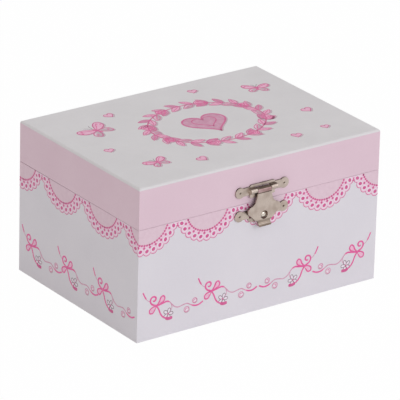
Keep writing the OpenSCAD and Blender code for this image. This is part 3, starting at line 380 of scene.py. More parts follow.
@dataclass(frozen=True)
class Enamel:
    """Paint on moulded plastic, with brush marks and small pooled shades.

    Attributes:
        name: Material name.
        colour: Colour of the paint.
        shade: Where it pools.
        gloss: Roughness.
        slot: Material slot of the record.
    """

    name: str
    colour: Colour
    shade: Colour
    gloss: float = 0.32
    slot: str = "doll"

    def material(self) -> bpy.types.Material:
        """Builds the node material."""
        sh = Shader(self.name)
        pools = sh.spread(sh.noise(650, 3), 0.42, 0.75, 0, 0.8)
        sh.colour(sh.blend(pools, self.colour, self.shade))
        sh.roughness(sh.spread(sh.noise(1200, 2), 0.3, 0.7, self.gloss - 0.08, self.gloss + 0.12))
        sh.bump(sh.noise(2600, 2), 0.00002, 0.5)
        sh.set(Coat_Weight=0.3, Coat_Roughness=0.15)
        return sh.material


@dataclass(frozen=True)
class Satin:
    """Woven satin with a fine diagonal weave and a soft sheen.

    Attributes:
        name: Material name.
        colour: Colour on the floats.
        shade: Colour in the folds of the weave.
        slot: Material slot of the record.
    """

    name: str
    colour: Colour
    shade: Colour
    slot: str = "flock"

    def material(self) -> bpy.types.Material:
        """Builds the node material."""
        sh = Shader(self.name)
        weave = sh.tree.nodes.new("ShaderNodeTexWave")
        weave.inputs["Scale"].default_value = 620
        weave.inputs["Distortion"].default_value = 0.6
        sh.link(sh.coords, weave.inputs["Vector"])
        threads = weave.outputs["Fac"]
        slubs = sh.spread(sh.noise(240, 3), 0.35, 0.75, 0, 0.5)
        share = sh.math("ADD", sh.math("MULTIPLY", threads, 0.35), slubs)
        sh.colour(sh.blend(share, self.colour, self.shade))
        sh.roughness(sh.spread(threads, 0, 1, 0.4, 0.56))
        sh.bump(threads, 0.00004, 0.35)
        sh.set(Sheen_Weight=0.35, Sheen_Roughness=0.35, Sheen_Tint=rgba((1.0, 0.86, 0.92)))
        return sh.material


@dataclass(frozen=True)
class Tulle:
    """Fine net, whose holes let what lies behind show through.

    Attributes:
        name: Material name.
        colour: Colour of the thread.
        mesh: Holes per metre.
        open_share: Opacity in the middle of a hole.
        slot: Material slot of the record.
    """

    name: str
    colour: Colour
    mesh: float = 2400
    open_share: float = 0.35
    slot: str = "tulle"

    def material(self) -> bpy.types.Material:
        """Builds the node material."""
        sh = Shader(self.name)
        holes = sh.cells(self.mesh)
        thread = sh.spread(holes, 0.28, 0.5, 0, 1)
        sh.link(sh.spread(thread, 0, 1, self.open_share, 0.95), sh.bsdf.inputs["Alpha"])
        shade = tuple(0.86 * c for c in self.colour)
        sh.colour(sh.blend(sh.noise(500, 3), self.colour, shade))
        sh.set(Roughness=0.7, Sheen_Weight=0.5, Sheen_Tint=rgba((1.0, 0.9, 0.94)))
        return sh.material


class Finish(Enum):
    """Every finish of the box."""

    WHITE_PAPER = Paper("white_paper", srgb(226, 222, 228), srgb(220, 216, 223))
    TOP_PAPER = Paper("top_paper", srgb(226, 223, 225), srgb(219, 216, 218), 0.4)
    PINK_PAPER = Paper("pink_paper", srgb(227, 201, 213), srgb(222, 194, 207), 0.42, "pink_paper")
    BAND_INK = Ink("lace_band_ink", srgb(236, 200, 220), srgb(238, 208, 224))
    FILL_INK = Ink("lace_fill_ink", srgb(227, 201, 213), srgb(222, 194, 207))
    WHITE_INK = Ink("lace_white_ink", srgb(236, 226, 235), srgb(232, 219, 230))
    LACE_INK = Ink("lace_pink_ink", srgb(208, 84, 142), srgb(216, 108, 158))
    DEEP_INK = Ink("deep_pink_ink", srgb(226, 84, 152), srgb(234, 118, 172))
    VINE_INK = Ink("vine_ink", srgb(208, 142, 172), srgb(218, 164, 190))
    GREY_INK = Ink("grey_ink", srgb(134, 114, 124), srgb(158, 136, 148))
    SOFT_INK = Ink("soft_pink_ink", srgb(240, 176, 206), srgb(246, 196, 220))
    SHADE_INK = Ink("shade_ink", srgb(196, 170, 182), srgb(208, 186, 196))
    NICKEL = Metal("nickel", srgb(190, 176, 166), srgb(168, 153, 143), 0.26, 0.44, (1, 1, 1), 0.00002)
    BRIGHT_NICKEL = Metal("bright_nickel", srgb(214, 206, 196), srgb(190, 180, 168), 0.12, 0.26)
    STEEL = Metal("steel", srgb(180, 182, 186), srgb(150, 150, 152), 0.22, 0.4, (1, 1, 8), slot="steel")
    # Painted shade in the nails' holes, and painted dark reflection on the clasp's upward faces and in its
    # window.
    PAINTED_DARK_NICKEL = Metal("dark_nail", srgb(104, 92, 82), srgb(70, 60, 54), 0.3, 0.5)
    # Painted rosy reflection on the hasp's rolled top in the window.
    PAINTED_ROSY_REFLECTION = Metal("painted_rosy_reflection_nickel", srgb(176, 148, 148), srgb(150, 120, 118), 0.24, 0.4)
    # Painted shade on the hasp's bill.
    PAINTED_SHADE_NICKEL = Metal("painted_shade_nickel", srgb(152, 138, 127), srgb(118, 104, 94), 0.34, 0.5)
    BRASS = Metal("brass", srgb(214, 188, 132), srgb(186, 158, 108), 0.2, 0.38, (6, 1, 1), slot="brass")
    GILT_ZINC = Metal("gilt_zinc", srgb(200, 178, 122), srgb(170, 148, 100), 0.34, 0.52, slot="cast_zinc")
    FLOCK = Pile("pink_flock", srgb(234, 158, 188), srgb(214, 130, 164))
    FELT = Pile("base_felt", srgb(240, 214, 224), srgb(224, 194, 206), 1500, 0.0003, "felt")
    BOARD = Fibreboard()
    MIRROR = Mirror()
    SKIN = Enamel("doll_skin", srgb(243, 212, 196), srgb(236, 196, 180))
    HAIR = Enamel("doll_hair", srgb(96, 60, 42), srgb(66, 40, 28), 0.4)
    BODICE = Enamel("doll_bodice", srgb(238, 150, 186), srgb(222, 120, 164), 0.28)
    EYE = Enamel("doll_eye", srgb(60, 44, 40), srgb(40, 30, 28), 0.25)
    LIP = Enamel("doll_lip", srgb(206, 84, 104), srgb(190, 70, 92), 0.25)
    SATIN = Satin("ring_roll_satin", srgb(246, 192, 212), srgb(226, 156, 184))
    TULLE = Tulle("tutu_tulle", srgb(250, 216, 230))

    def made(self) -> bpy.types.Material:
        """The Blender material, built once."""
        if self not in MADE:
            MADE[self] = self.value.material()
        return MADE[self]

    @property
    def slot(self) -> str:
        """The record's material slot that this finish belongs to."""
        return self.value.slot


MADE: dict[Finish, bpy.types.Material] = {}


# ---------------------------------------------------------------- meshes


def add_piece(
    name: str,
    bm: bmesh.types.BMesh,
    finishes: Sequence[Finish],
    body: str,
    smooth: bool = False,
    blended: bool = False,
) -> bpy.types.Object:
    """Makes a piece of the box from a bmesh drawn in millimetres.

    Args:
        name: Name of the piece.
        bm: Its shape; it is freed.
        finishes: Finishes in the order of the faces' material indices.
        body: Body of the frame that it moves with.
        smooth: Whether its faces are shaded smooth.
        blended: Whether it is left free, attached to no body.

    Returns:
        The new object, with its origin at the frame's.
    """
    bmesh.ops.scale(bm, vec=(MM, MM, MM), verts=bm.verts)
    for face in bm.faces:
        face.smooth = smooth
    mesh = bpy.data.meshes.new(name)
    bm.to_mesh(mesh)
    bm.free()
    piece = bpy.data.objects.new(name, mesh)
    bpy.context.scene.collection.objects.link(piece)
    for finish in finishes:
        mesh.materials.append(finish.made())
    finishes[0].slot
    if not blended:
        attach(piece, body)
    return piece


def dress(node: str, finish: Finish) -> bpy.types.Object:
    """Gives a CAD node a finish.

    Args:
        node: Name of the node.
        finish: Finish that it gets.

    Returns:
        The node's object.
    """
    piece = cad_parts[node]
    piece.data.materials.clear()
    piece.data.materials.append(finish.made())
    finish.slot
    return piece


def closed(bm: bmesh.types.BMesh) -> bmesh.types.BMesh:
    """Merges a shape's doubles and points its faces outwards."""
    bmesh.ops.remove_doubles(bm, verts=bm.verts, dist=0.0005)
    bmesh.ops.recalc_face_normals(bm, faces=bm.faces)
    return bm


def bevel_sharp(bm: bmesh.types.BMesh, width: float, segments: int = 2, angle: float = 35) -> None:
    """Rounds every edge sharper than an angle in degrees."""
    limit = math.radians(angle)
    edges = [e for e in bm.edges if len(e.link_faces) == 2 and e.calc_face_angle(0) > limit]
    bmesh.ops.bevel(
        bm,
        geom=edges,
        offset=width,
        offset_type="OFFSET",
        segments=segments,
        profile=0.5,
        affect="EDGES",
        clamp_overlap=True,
        material=-1,
    )


def turned(points: Sequence[Point], place: Matrix, steps: int = 32) -> bmesh.types.BMesh:
    """Turns a profile of (radius, height) round the z axis and puts it in place.

    Args:
        points: Profile from bottom to top; ends at radius 0 are closed.
        place: Matrix in millimetres.
        steps: Steps round.

    Returns:
        The turned shape.
    """
    bm = bmesh.new()
    verts = [bm.verts.new((r, 0, z)) for r, z in points]
    edges = [bm.edges.new(pair) for pair in zip(verts, verts[1:], strict=False)]
    bmesh.ops.spin(
        bm,
        geom=[*verts, *edges],
        cent=(0, 0, 0),
        axis=(0, 0, 1),
        angle=math.tau,
        steps=steps,
        use_merge=True,
    )
    bmesh.ops.transform(bm, matrix=place, verts=bm.verts)
    return closed(bm)


def joined(*parts: bmesh.types.BMesh) -> bmesh.types.BMesh:
    """Puts several shapes into the first one and frees the others."""
    first, *rest = parts
    for part in rest:
        mesh = bpy.data.meshes.new("part")
        part.to_mesh(mesh)
        part.free()
        first.from_mesh(mesh)
        bpy.data.meshes.remove(mesh)
    return first


def painted(bm: bmesh.types.BMesh, index: int) -> bmesh.types.BMesh:
    """Gives every face one material index."""
    for face in bm.faces:
        face.material_index = index
    return bm


def copied(node: str, merge: float = 0.002) -> bmesh.types.BMesh:
    """A merged copy of a CAD node in millimetres, with its flat faces made whole."""
    bm = bmesh.new()
    bm.from_mesh(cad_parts[node].data)
    bmesh.ops.scale(bm, vec=(1 / MM,) * 3, verts=bm.verts)
    bmesh.ops.remove_doubles(bm, verts=bm.verts, dist=merge)
    bmesh.ops.dissolve_limit(bm, angle_limit=math.radians(1.0), verts=bm.verts, edges=bm.edges)
    return bm


def smooth_line(points: Sequence[Sequence[float]], per_span: int = 6, loop: bool = False) -> list[Vector]:
    """Points of a smooth line through the given ones.

    Args:
        points: Corner points.
        per_span: Steps between two of them.
        loop: Whether the line closes.

    Returns:
        Points of a Catmull-Rom line.
    """
    knots = [Vector(p) for p in points]
    if loop:
        row, spans = [knots[-1], *knots, knots[0], knots[1]], len(knots)
    else:
        row, spans = [2 * knots[0] - knots[1], *knots, 2 * knots[-1] - knots[-2]], len(knots) - 1
    line = []
    for k in range(spans):
        a, b, c, d = row[k : k + 4]
        for step in range(per_span):
            t = step / per_span
            square, cube = 2 * a - 5 * b + 4 * c - d, 3 * b - a - 3 * c + d
            line.append(0.5 * (2 * b + (c - a) * t + square * t**2 + cube * t**3))
    line.append(row[1 + spans].copy())
    return line


# ---------------------------------------------------------------- print


class Artwork:
    """Flat drawing in millimetres, kept as one sheet for each ink.

    A sheet becomes a film of ink when it is laid on a wall: higher inks are printed over lower ones.
    """

    LEVELS = (
        Finish.FILL_INK,
        Finish.BAND_INK,
        Finish.SHADE_INK,
        Finish.WHITE_INK,
        Finish.SOFT_INK,
        Finish.VINE_INK,
        Finish.GREY_INK,
        Finish.LACE_INK,
        Finish.DEEP_INK,
    )
    STEP = 0.006
    TIERS = 11
    SHARE = 0.8

    def __init__(self) -> None:
        """Starts with no ink."""
        self.sheets: dict[Finish, bmesh.types.BMesh] = {}

    def sheet(self, ink: Finish) -> bmesh.types.BMesh:
        """The sheet of one ink."""
        return self.sheets.setdefault(ink, bmesh.new())

    def disc(
        self, ink: Finish, at: Point, radius: float, wide: float = 1.0, turn: float = 0.0, sides: int = 14
    ) -> None:
        """Draws a filled disc or oval.

        Args:
            ink: Ink.
            at: Middle.
            radius: Radius across its turned x axis, before widening.
            wide: Factor along its turned x axis.
            turn: Turn in degrees.
            sides: Corners of its outline.
        """
        place = (
            Matrix.Translation((at[0], at[1], 0))
            @ Matrix.Rotation(math.radians(turn), 4, "Z")
            @ Matrix.Diagonal((wide, 1, 1, 1))
        )
        bmesh.ops.create_circle(self.sheet(ink), cap_ends=True, segments=sides, radius=radius, matrix=place)

    def shape(self, ink: Finish, outline: Sequence[Point]) -> None:
        """Draws one filled outline."""
        bm = self.sheet(ink)
        bm.faces.new([bm.verts.new((x, y, 0)) for x, y in outline])

    def stroke(
        self,
        ink: Finish,
        points: Sequence[Point],
        width: float,
        tips: Point = (0.4, 0.4),
        loop: bool = False,
        per_span: int = 6,
    ) -> None:
        """Draws a line with the swell of a brush.

        Args:
            ink: Ink.
            points: Points that it runs through.
            width: Greatest width.
            tips: Width at the start and the end, as shares of it.
            loop: Whether it closes on itself.
            per_span: Steps between two points.
        """
        line = smooth_line(points, per_span, loop)
        bm = self.sheet(ink)
        pairs = []
        last = len(line) - 1
        for k, here in enumerate(line):
            ahead = line[min(k + 1, last)] - line[max(k - 1, 0)]
            if loop and k in (0, last):
                ahead = line[1] - line[-2]
            side = Vector((-ahead.y, ahead.x)).normalized()
            t = k / last
            share = 1.0 if loop else min(1, tips[0] + 4 * t, tips[1] + 4 * (1 - t))
            half = side * width * share / 2
            pairs.append([bm.verts.new((p.x, p.y, 0)) for p in (here + half, here - half)])
        for (a, b), (c, d) in zip(pairs, pairs[1:], strict=False):
            bm.faces.new((a, b, d, c))

    def band(
        self, ink: Finish, centre: Point, inner: Callable[[float], float], outer: Callable[[float], float],
        reach: float, steps: int,
    ) -> None:
        """Draws a band that hangs round a centre, between two radii that vary with the angle.

        Args:
            ink: Ink.
            centre: Middle of the arcs.
            inner: Inner radius at an angle from straight down, in degrees.
            outer: Outer radius at such an angle.
            reach: Half of the band's angle.
            steps: Steps along it.
        """
        bm = self.sheet(ink)
        pairs = []
        for k in range(steps + 1):
            angle = -reach + 2 * reach * k / steps
            way = Vector((math.sin(math.radians(angle)), -math.cos(math.radians(angle))))
            ends = [Vector(centre) + way * r(angle) for r in (inner, outer)]
            pairs.append([bm.verts.new((p.x, p.y, 0)) for p in ends])
        for (a, b), (c, d) in zip(pairs, pairs[1:], strict=False):
            bm.faces.new((a, b, d, c))

    def clip(self, low: Vector, normal: Vector) -> None:
        """Removes what lies beyond a line, on the side that its normal points to."""
        for bm in self.sheets.values():
            self.cut(bm, low, normal, True)

    @staticmethod
    def cut(bm: bmesh.types.BMesh, point: Vector, normal: Vector, clear: bool) -> None:
        """Cuts a sheet along a line, and drops what is beyond it if asked."""
        geom = [*bm.verts, *bm.edges, *bm.faces]
        bmesh.ops.bisect_plane(
            bm, geom=geom, dist=0.0001, plane_co=point, plane_no=normal, clear_outer=clear
        )

    def stamp(self, other: "Artwork", at: Point, scale: Point = (1, 1)) -> None:
        """Repeats another drawing in this one.

        Args:
            other: Drawing to repeat.
            at: Where its origin goes.
            scale: Scale along x and y, negative to mirror it.
        """
        place = Matrix.Translation((at[0], at[1], 0)) @ Matrix.Diagonal((scale[0], scale[1], 1, 1))
        for ink, bm in other.sheets.items():
            mesh = bpy.data.meshes.new("stamp")
            bm.to_mesh(mesh)
            mesh.transform(place)
            self.sheet(ink).from_mesh(mesh)
            bpy.data.meshes.remove(mesh)

    @staticmethod
    def marks(bm: bmesh.types.BMesh) -> bmesh.types.BMLayerItem:
        """Numbers the separate marks of a sheet, so that marks that overlap get films of unlike height."""
        layer = bm.verts.layers.int.new("mark")
        bm.verts.index_update()
        seen: set[int] = set()
        number = 0
        for start in bm.verts:
            if start.index in seen:
                continue
            number += 1
            row = [start]
            seen.add(start.index)
            while row:
                vert = row.pop()
                vert[layer] = number
                for other in (e.other_vert(vert) for e in vert.link_edges):
                    if other.index not in seen:
                        seen.add(other.index)
                        row.append(other)
        return layer

    def lay(
        self, name: str, body: str, wall: Callable[[Vector], Vector], folds: Sequence[float] = ()
    ) -> list[bpy.types.Object]:
        """Makes every sheet a thin film of ink on a wall.

        Args:
            name: Start of the pieces' names.
            body: Body that the wall belongs to.
            wall: Turns a point (x, y, height) of the drawing into one on the wall.
            folds: Places along x where the wall turns a corner.

        Returns:
            The films.
        """
        films = []
        for ink, bm in self.sheets.items():
            for fold in folds:
                self.cut(bm, Vector((fold, 0, 0)), Vector((1, 0, 0)), False)
            lift = self.STEP * (2 + self.LEVELS.index(ink))
            marks = self.marks(bm)
            raised = bmesh.ops.extrude_face_region(bm, geom=list(bm.faces))["geom"]
            for vert in raised:
                if isinstance(vert, bmesh.types.BMVert):
                    vert.co.z = lift + self.SHARE * self.STEP * (vert[marks] % self.TIERS) / self.TIERS
            for vert in bm.verts:
                vert.co = wall(vert.co)
            bmesh.ops.recalc_face_normals(bm, faces=bm.faces)
            ink_name = ink.value.name.removesuffix("_ink")
            films.append(add_piece(f"{name}_{ink_name}", bm, [ink], body))
        self.sheets = {}
        return films


# ---------------------------------------------------------------- papers and print


@dataclass
class Papers:
    """The box's papers, with lace and garlands printed round the body.

    Attributes:
        half_w: Half of the box's width.
        half_d: Half of its depth.
        rim: Height of the body's rim.
        scallops: Scallops of lace round the box.
        first: Distance of the first scallop's middle from the near left corner, round to the right.
        arc_z: Height of the centre of the eyelets' arc.
        bead_z: Height of the centre of the beaded arc.
        bead_r: Radius of the beaded arc.
        eyelet_r: Radius on which the eyelets lie.
        eyelets: Eyelets of one scallop.
        eyelet_step: Angle between two eyelets.
        petal_r: Radius of a petal round its eyelet.
        hole_r: Radius of the pink hole in an eyelet.
        ring_r: Radius of the white ring round it.
        beads: Beads of one scallop.
        turn_in: Width of the wrap that is turned over the rim.
        front_lift: Height of the tinted film over the front of the rim.
    """

    half_w: float = 76.0
    half_d: float = 54.5
    rim: float = 61.8
    scallops: int = 14
    first: float = 5.16
    arc_z: float = 67.2
    bead_z: float = 66.1
    bead_r: float = 13.16
    eyelet_r: float = 17.55
    eyelets: int = 11
    eyelet_step: float = 13.33
    petal_r: float = 2.36
    hole_r: float = 0.95
    ring_r: float = 1.58
    beads: int = 23
    turn_in: float = 5.3
    front_lift: float = 0.14

    @property
    def walls(self) -> tuple[float, float, float, float]:
        """Distances round the box at which each wall ends: front, right, back and left."""
        w, d = 2 * self.half_w, 2 * self.half_d
        return w, w + d, 2 * w + d, 2 * (w + d)

    def wall(self, point: Vector) -> Vector:
        """Puts a point (distance round the box, z, height off the paper) on the body's walls."""
        front, right, back, around = self.walls
        s = point.x % around
        lift = point.z
        x, y = self.half_w + lift, self.half_d + lift
        corners = {0.0: (-x, -y), front: (x, -y), right: (x, y), back: (-x, y), around: (-x, -y)}
        near = 0.002
        for place, corner in corners.items():
            if abs(s - place) < near:
                return Vector((*corner, point.y))
        if s < front:
            return Vector((s - self.half_w, -y, point.y))
        if s < right:
            return Vector((x, s - front - self.half_d, point.y))
        if s < back:
            return Vector((self.half_w - (s - right), y, point.y))
        return Vector((-x, self.half_d - (s - back), point.y))

    def petal(self, angle: float) -> float:
        """Outer radius of the lace at an angle from straight down."""
        nearest = round(angle / self.eyelet_step) * self.eyelet_step
        limit = self.eyelet_step * (self.eyelets - 1) / 2
        nearest = max(-limit, min(limit, nearest))
        off = math.radians(angle - nearest)
        rest = max(0.0, self.petal_r**2 - (self.eyelet_r * math.sin(off)) ** 2)
        return self.eyelet_r * math.cos(off) + math.sqrt(rest)

    def beaded(self, angle: float) -> float:
        """Distance from the eyelets' centre to the beaded arc at an angle from straight down."""
        drop = (self.arc_z - self.bead_z) * math.cos(math.radians(angle))
        return drop + math.sqrt(drop**2 + self.bead_r**2 - (self.arc_z - self.bead_z) ** 2)

    def scallop(self) -> Artwork:
        """One scallop of lace, drawn about x = 0."""
        art = Artwork()
        centre = (0.0, self.arc_z)
        half = self.walls[3] / self.scallops / 2
        reach, edge_reach = 88.0, 72.0
        coarse, fine, edge_steps = 60, 170, 150
        art.band(Finish.FILL_INK, centre, lambda _: 0.5, self.beaded, reach, coarse)
        art.band(Finish.BAND_INK, centre, self.beaded, self.petal, reach, fine)
        for side in (-1, 1):
            join = [
                (side * 15.0, 62.5),
                (side * 15.0, 59.6),
                (side * (half - 0.9), 59.5),
                (side * half, 60.1),
                (side * half, 62.5),
            ]
            art.shape(Finish.BAND_INK, join)
            notch = [(side * (half + 0.4), 60.2), (side * (half - 1.0), 59.4)]
            art.stroke(Finish.LACE_INK, notch, 0.36, (1, 1))
        for line, below, over, angle, steps in (
            (self.petal, 0.12, 0.26, edge_reach, edge_steps),
            (self.beaded, 0.15, 0.15, reach, coarse),
        ):
            inner, outer = self.beside(line, -below), self.beside(line, over)
            art.band(Finish.LACE_INK, centre, inner, outer, angle, steps)
        for k in range(self.eyelets):
            angle = self.eyelet_step * (k - (self.eyelets - 1) / 2)
            at = self.on_arc(angle, self.eyelet_r)
            art.disc(Finish.WHITE_INK, at, self.ring_r, 1.0, angle, 16)
            art.disc(Finish.LACE_INK, at, self.hole_r, 1.22, angle + 40, 12)
            if k:
                mid = angle - self.eyelet_step / 2
                corners = ((mid - 3.0, 15.7), (mid, 14.7), (mid + 3.0, 15.7), (mid, 16.5))
                art.shape(Finish.LACE_INK, [self.on_arc(a, r) for a, r in corners])
        bead_reach, dot_r = 75, 0.6
        for k in range(self.beads):
            turn = math.radians(-bead_reach + 2 * bead_reach * k / (self.beads - 1))
            at = (self.bead_r * math.sin(turn), self.bead_z - self.bead_r * math.cos(turn))
            art.disc(Finish.LACE_INK, at, dot_r, sides=10)
        art.clip(Vector((0, self.rim, 0)), Vector((0, 1, 0)))
        art.clip(Vector((half, 0, 0)), Vector((1, 0, 0)))
        art.clip(Vector((-half, 0, 0)), Vector((-1, 0, 0)))
        return art

    @staticmethod
    def beside(line: Callable[[float], float], off: float) -> Callable[[float], float]:
        """A line of the lace moved outwards by a distance."""
        return lambda angle: line(angle) + off

    def on_arc(self, angle: float, radius: float) -> Point:
        """Point at an angle from straight down, round the eyelets' centre."""
        turn = math.radians(angle)
        return radius * math.sin(turn), self.arc_z - radius * math.cos(turn)

    def garland(self) -> Artwork:
        """One bow with its vine to the right, drawn about its knot."""
        art = Artwork()
        art.stroke(Finish.DEEP_INK, [(-8.6, 9.2), (-7.4, 6.6), (-6.4, 5.0)], 0.75, (0.8, 0.3))
        art.stroke(Finish.VINE_INK, [(-6.4, 5.0), (-5.4, 4.0), (-4.2, 3.4)], 0.35)
        loops = (
            (0.95, [(-0.3, 0.3), (-2.6, 1.2), (-3.9, 3.0), (-3.4, 4.9), (-1.7, 5.5), (-0.5, 4.5), (-0.8, 3.3),
                    (-1.8, 2.9), (-2.4, 3.5)]),
            (0.85, [(0.3, 0.3), (1.6, 1.9), (2.6, 4.0), (4.0, 4.7), (5.0, 3.3), (4.3, 1.7), (2.6, 0.9),
                    (0.9, 0.4)]),
            (0.8, [(-0.2, -0.2), (-2.2, -0.3), (-4.2, -1.5), (-4.1, -3.3), (-2.4, -3.6), (-1.2, -2.2),
                   (-0.2, -0.5)]),
            (0.9, [(0.4, -0.1), (3.4, 0.5), (6.2, 1.0), (8.2, 0.3)]),
            (0.85, [(0.1, -0.3), (1.5, -2.6), (2.5, -5.1), (4.1, -7.2), (6.2, -8.3)]),
        )
        for width, points in loops:
            art.stroke(Finish.DEEP_INK, points, width, (0.7, 0.35))
        art.shape(Finish.SOFT_INK, [(1.6, 1.5), (2.8, 3.4), (3.9, 4.0), (4.4, 3.0), (3.6, 1.8)])
        art.shape(Finish.SOFT_INK, [(-1.4, -0.8), (-3.5, -1.6), (-3.6, -2.8), (-2.5, -3.0), (-1.7, -2.0)])
        art.disc(Finish.DEEP_INK, (0, 0), 0.75, 1.3, 20)
        leaf = [(5.6, -8.2), (7.6, -8.9), (9.9, -8.7)]
        art.stroke(Finish.LACE_INK, leaf, 1.7, (0.5, 0.7))
        art.stroke(Finish.SOFT_INK, [(x + 0.2, y + 0.15) for x, y in leaf], 0.6, (0.3, 0.6))
        vine = [(8.0, 0.4), (9.6, -1.4), (11.2, -3.0), (13.6, -3.9), (16.4, -3.4), (19.0, -3.2), (21.6, -4.6)]
        art.stroke(Finish.VINE_INK, vine, 0.56, (0.8, 0.8))
        art.stroke(Finish.DEEP_INK, [(21.2, -4.4), (23.8, -5.5), (26.4, -5.5), (29.0, -4.3)], 0.85, (0.3, 0.9))
        art.stroke(Finish.VINE_INK, [(9.0, -1.0), (9.6, -3.0), (8.6, -5.0)], 0.4)
        self.rosette(art, (18.7, -6.4), 1.75)
        self.rosette(art, (23.7, -2.5), 1.55)
        self.blossom(art, (7.2, -6.1))
        return art

    @staticmethod
    def rosette(art: Artwork, at: Point, radius: float) -> None:
        """Draws a small round rosette of curling lines."""
        art.disc(Finish.SHADE_INK, (at[0] + 0.22, at[1] - 0.28), radius * 1.08)
        art.disc(Finish.WHITE_INK, at, radius)
        for share, ink, width, first, last in (
            (0.84, Finish.VINE_INK, 0.5, 0, 330),
            (0.84, Finish.LACE_INK, 0.22, 200, 420),
            (0.36, Finish.LACE_INK, 0.34, 30, 250),
        ):
            turns = [math.radians(first + (last - first) * k / 9) for k in range(10)]
            r = share * radius
            curl = [(at[0] + r * math.cos(a), at[1] + r * math.sin(a)) for a in turns]
            art.stroke(ink, curl, width, (0.7, 0.6), per_span=2)

    @staticmethod
    def blossom(art: Artwork, at: Point) -> None:
        """Draws a small dark-edged blossom."""
        for k in range(5):
            turn = math.radians(70 + 72 * k)
            way = (math.cos(turn), math.sin(turn))
            petal = [
                (at[0] + r * way[0] - side * way[1], at[1] + r * way[1] + side * way[0])
                for r, side in ((0.2, 0.0), (1.5, 0.85), (2.9, 0.55), (3.0, -0.45), (1.5, -0.85))
            ]
            art.shape(Finish.WHITE_INK, petal)
            art.stroke(Finish.GREY_INK, petal, 0.36, loop=True, per_span=3)
        art.stroke(Finish.GREY_INK, [(at[0] + 0.2, at[1] - 0.4), (at[0] - 0.9, at[1] - 1.9)], 0.55)
        art.disc(Finish.LACE_INK, at, 0.5, sides=10)

    def body_print(self) -> list[bpy.types.Object]:
        """Prints the lace and the garlands round the body."""
        front, right, back, around = self.walls
        art = Artwork()
        scallop = self.scallop()
        for k in range(self.scallops):
            art.stamp(scallop, (self.first + k * around / self.scallops, 0))
        bow = self.garland()
        level = 18.0
        long_places = ((11.9, 1), (46.2, 1), (105.5, -1), (140.0, -1))
        short_places = (11.3, 44.9, 77.7)
        for start in (0.0, right):
            for along, side in long_places:
                art.stamp(bow, (start + along, level), (side, 1))
        for along in short_places:
            art.stamp(bow, (back + along, level))
            art.stamp(bow, (right - along, level), (-1, 1))
        return [*art.lay("print", "case", self.wall, (0.0, front, right, back, around)), *self.rim_print()]

    def rim_print(self) -> list[bpy.types.Object]:
        """Tints the rim of the body, where the wrap turns over it."""
        art = Artwork()
        w, d = self.half_w, self.half_d
        inner_w, inner_d = w - self.turn_in, d - self.turn_in
        for low, high in (
            ((-w, -d), (w, -inner_d)),
            ((-w, inner_d), (w, d)),
            ((-w, -inner_d), (-inner_w, inner_d)),
            ((inner_w, -inner_d), (w, inner_d)),
        ):
            art.shape(Finish.FILL_INK, [low, (high[0], low[1]), high, (low[0], high[1])])
        near = 0.01

        def raised(p: Vector) -> Vector:
            """Puts a point on the rim, and lifts the film at the front up to the lid."""
            front = p.z > 0 and p.y <= near - inner_d
            return Vector((p.x, p.y, self.rim + p.z + (self.front_lift if front else 0)))

        return art.lay("rim", "case", raised)

    @staticmethod
    def dress_boards() -> None:
        """Gives the papers and boards their finishes."""
        dress("case_paper", Finish.WHITE_PAPER)
        dress("lid_side_paper", Finish.PINK_PAPER)
        dress("lid_top_paper", Finish.TOP_PAPER)
        dress("base_felt", Finish.FELT)
        boards = [f"{side}_board" for side in ("front", "back", "left", "right", "floor", "deck", "lid_top")]
        boards += [f"lid_{side}_rail" for side in ("front", "back", "left", "right")]
        for board in (*boards, "deck_riser", "deck_cleats"):
            dress(board, Finish.BOARD)
        for lining in ("case_lining", "lid_lining", "deck_lining", "divider"):
            dress(lining, Finish.FLOCK)

    def build(self) -> None:
        """Dresses the papers and prints the body."""
        self.dress_boards()
        films = self.body_print()
        LOG.info("papers: %d films of print on the body", len(films))


# ---------------------------------------------------------------- lid picture


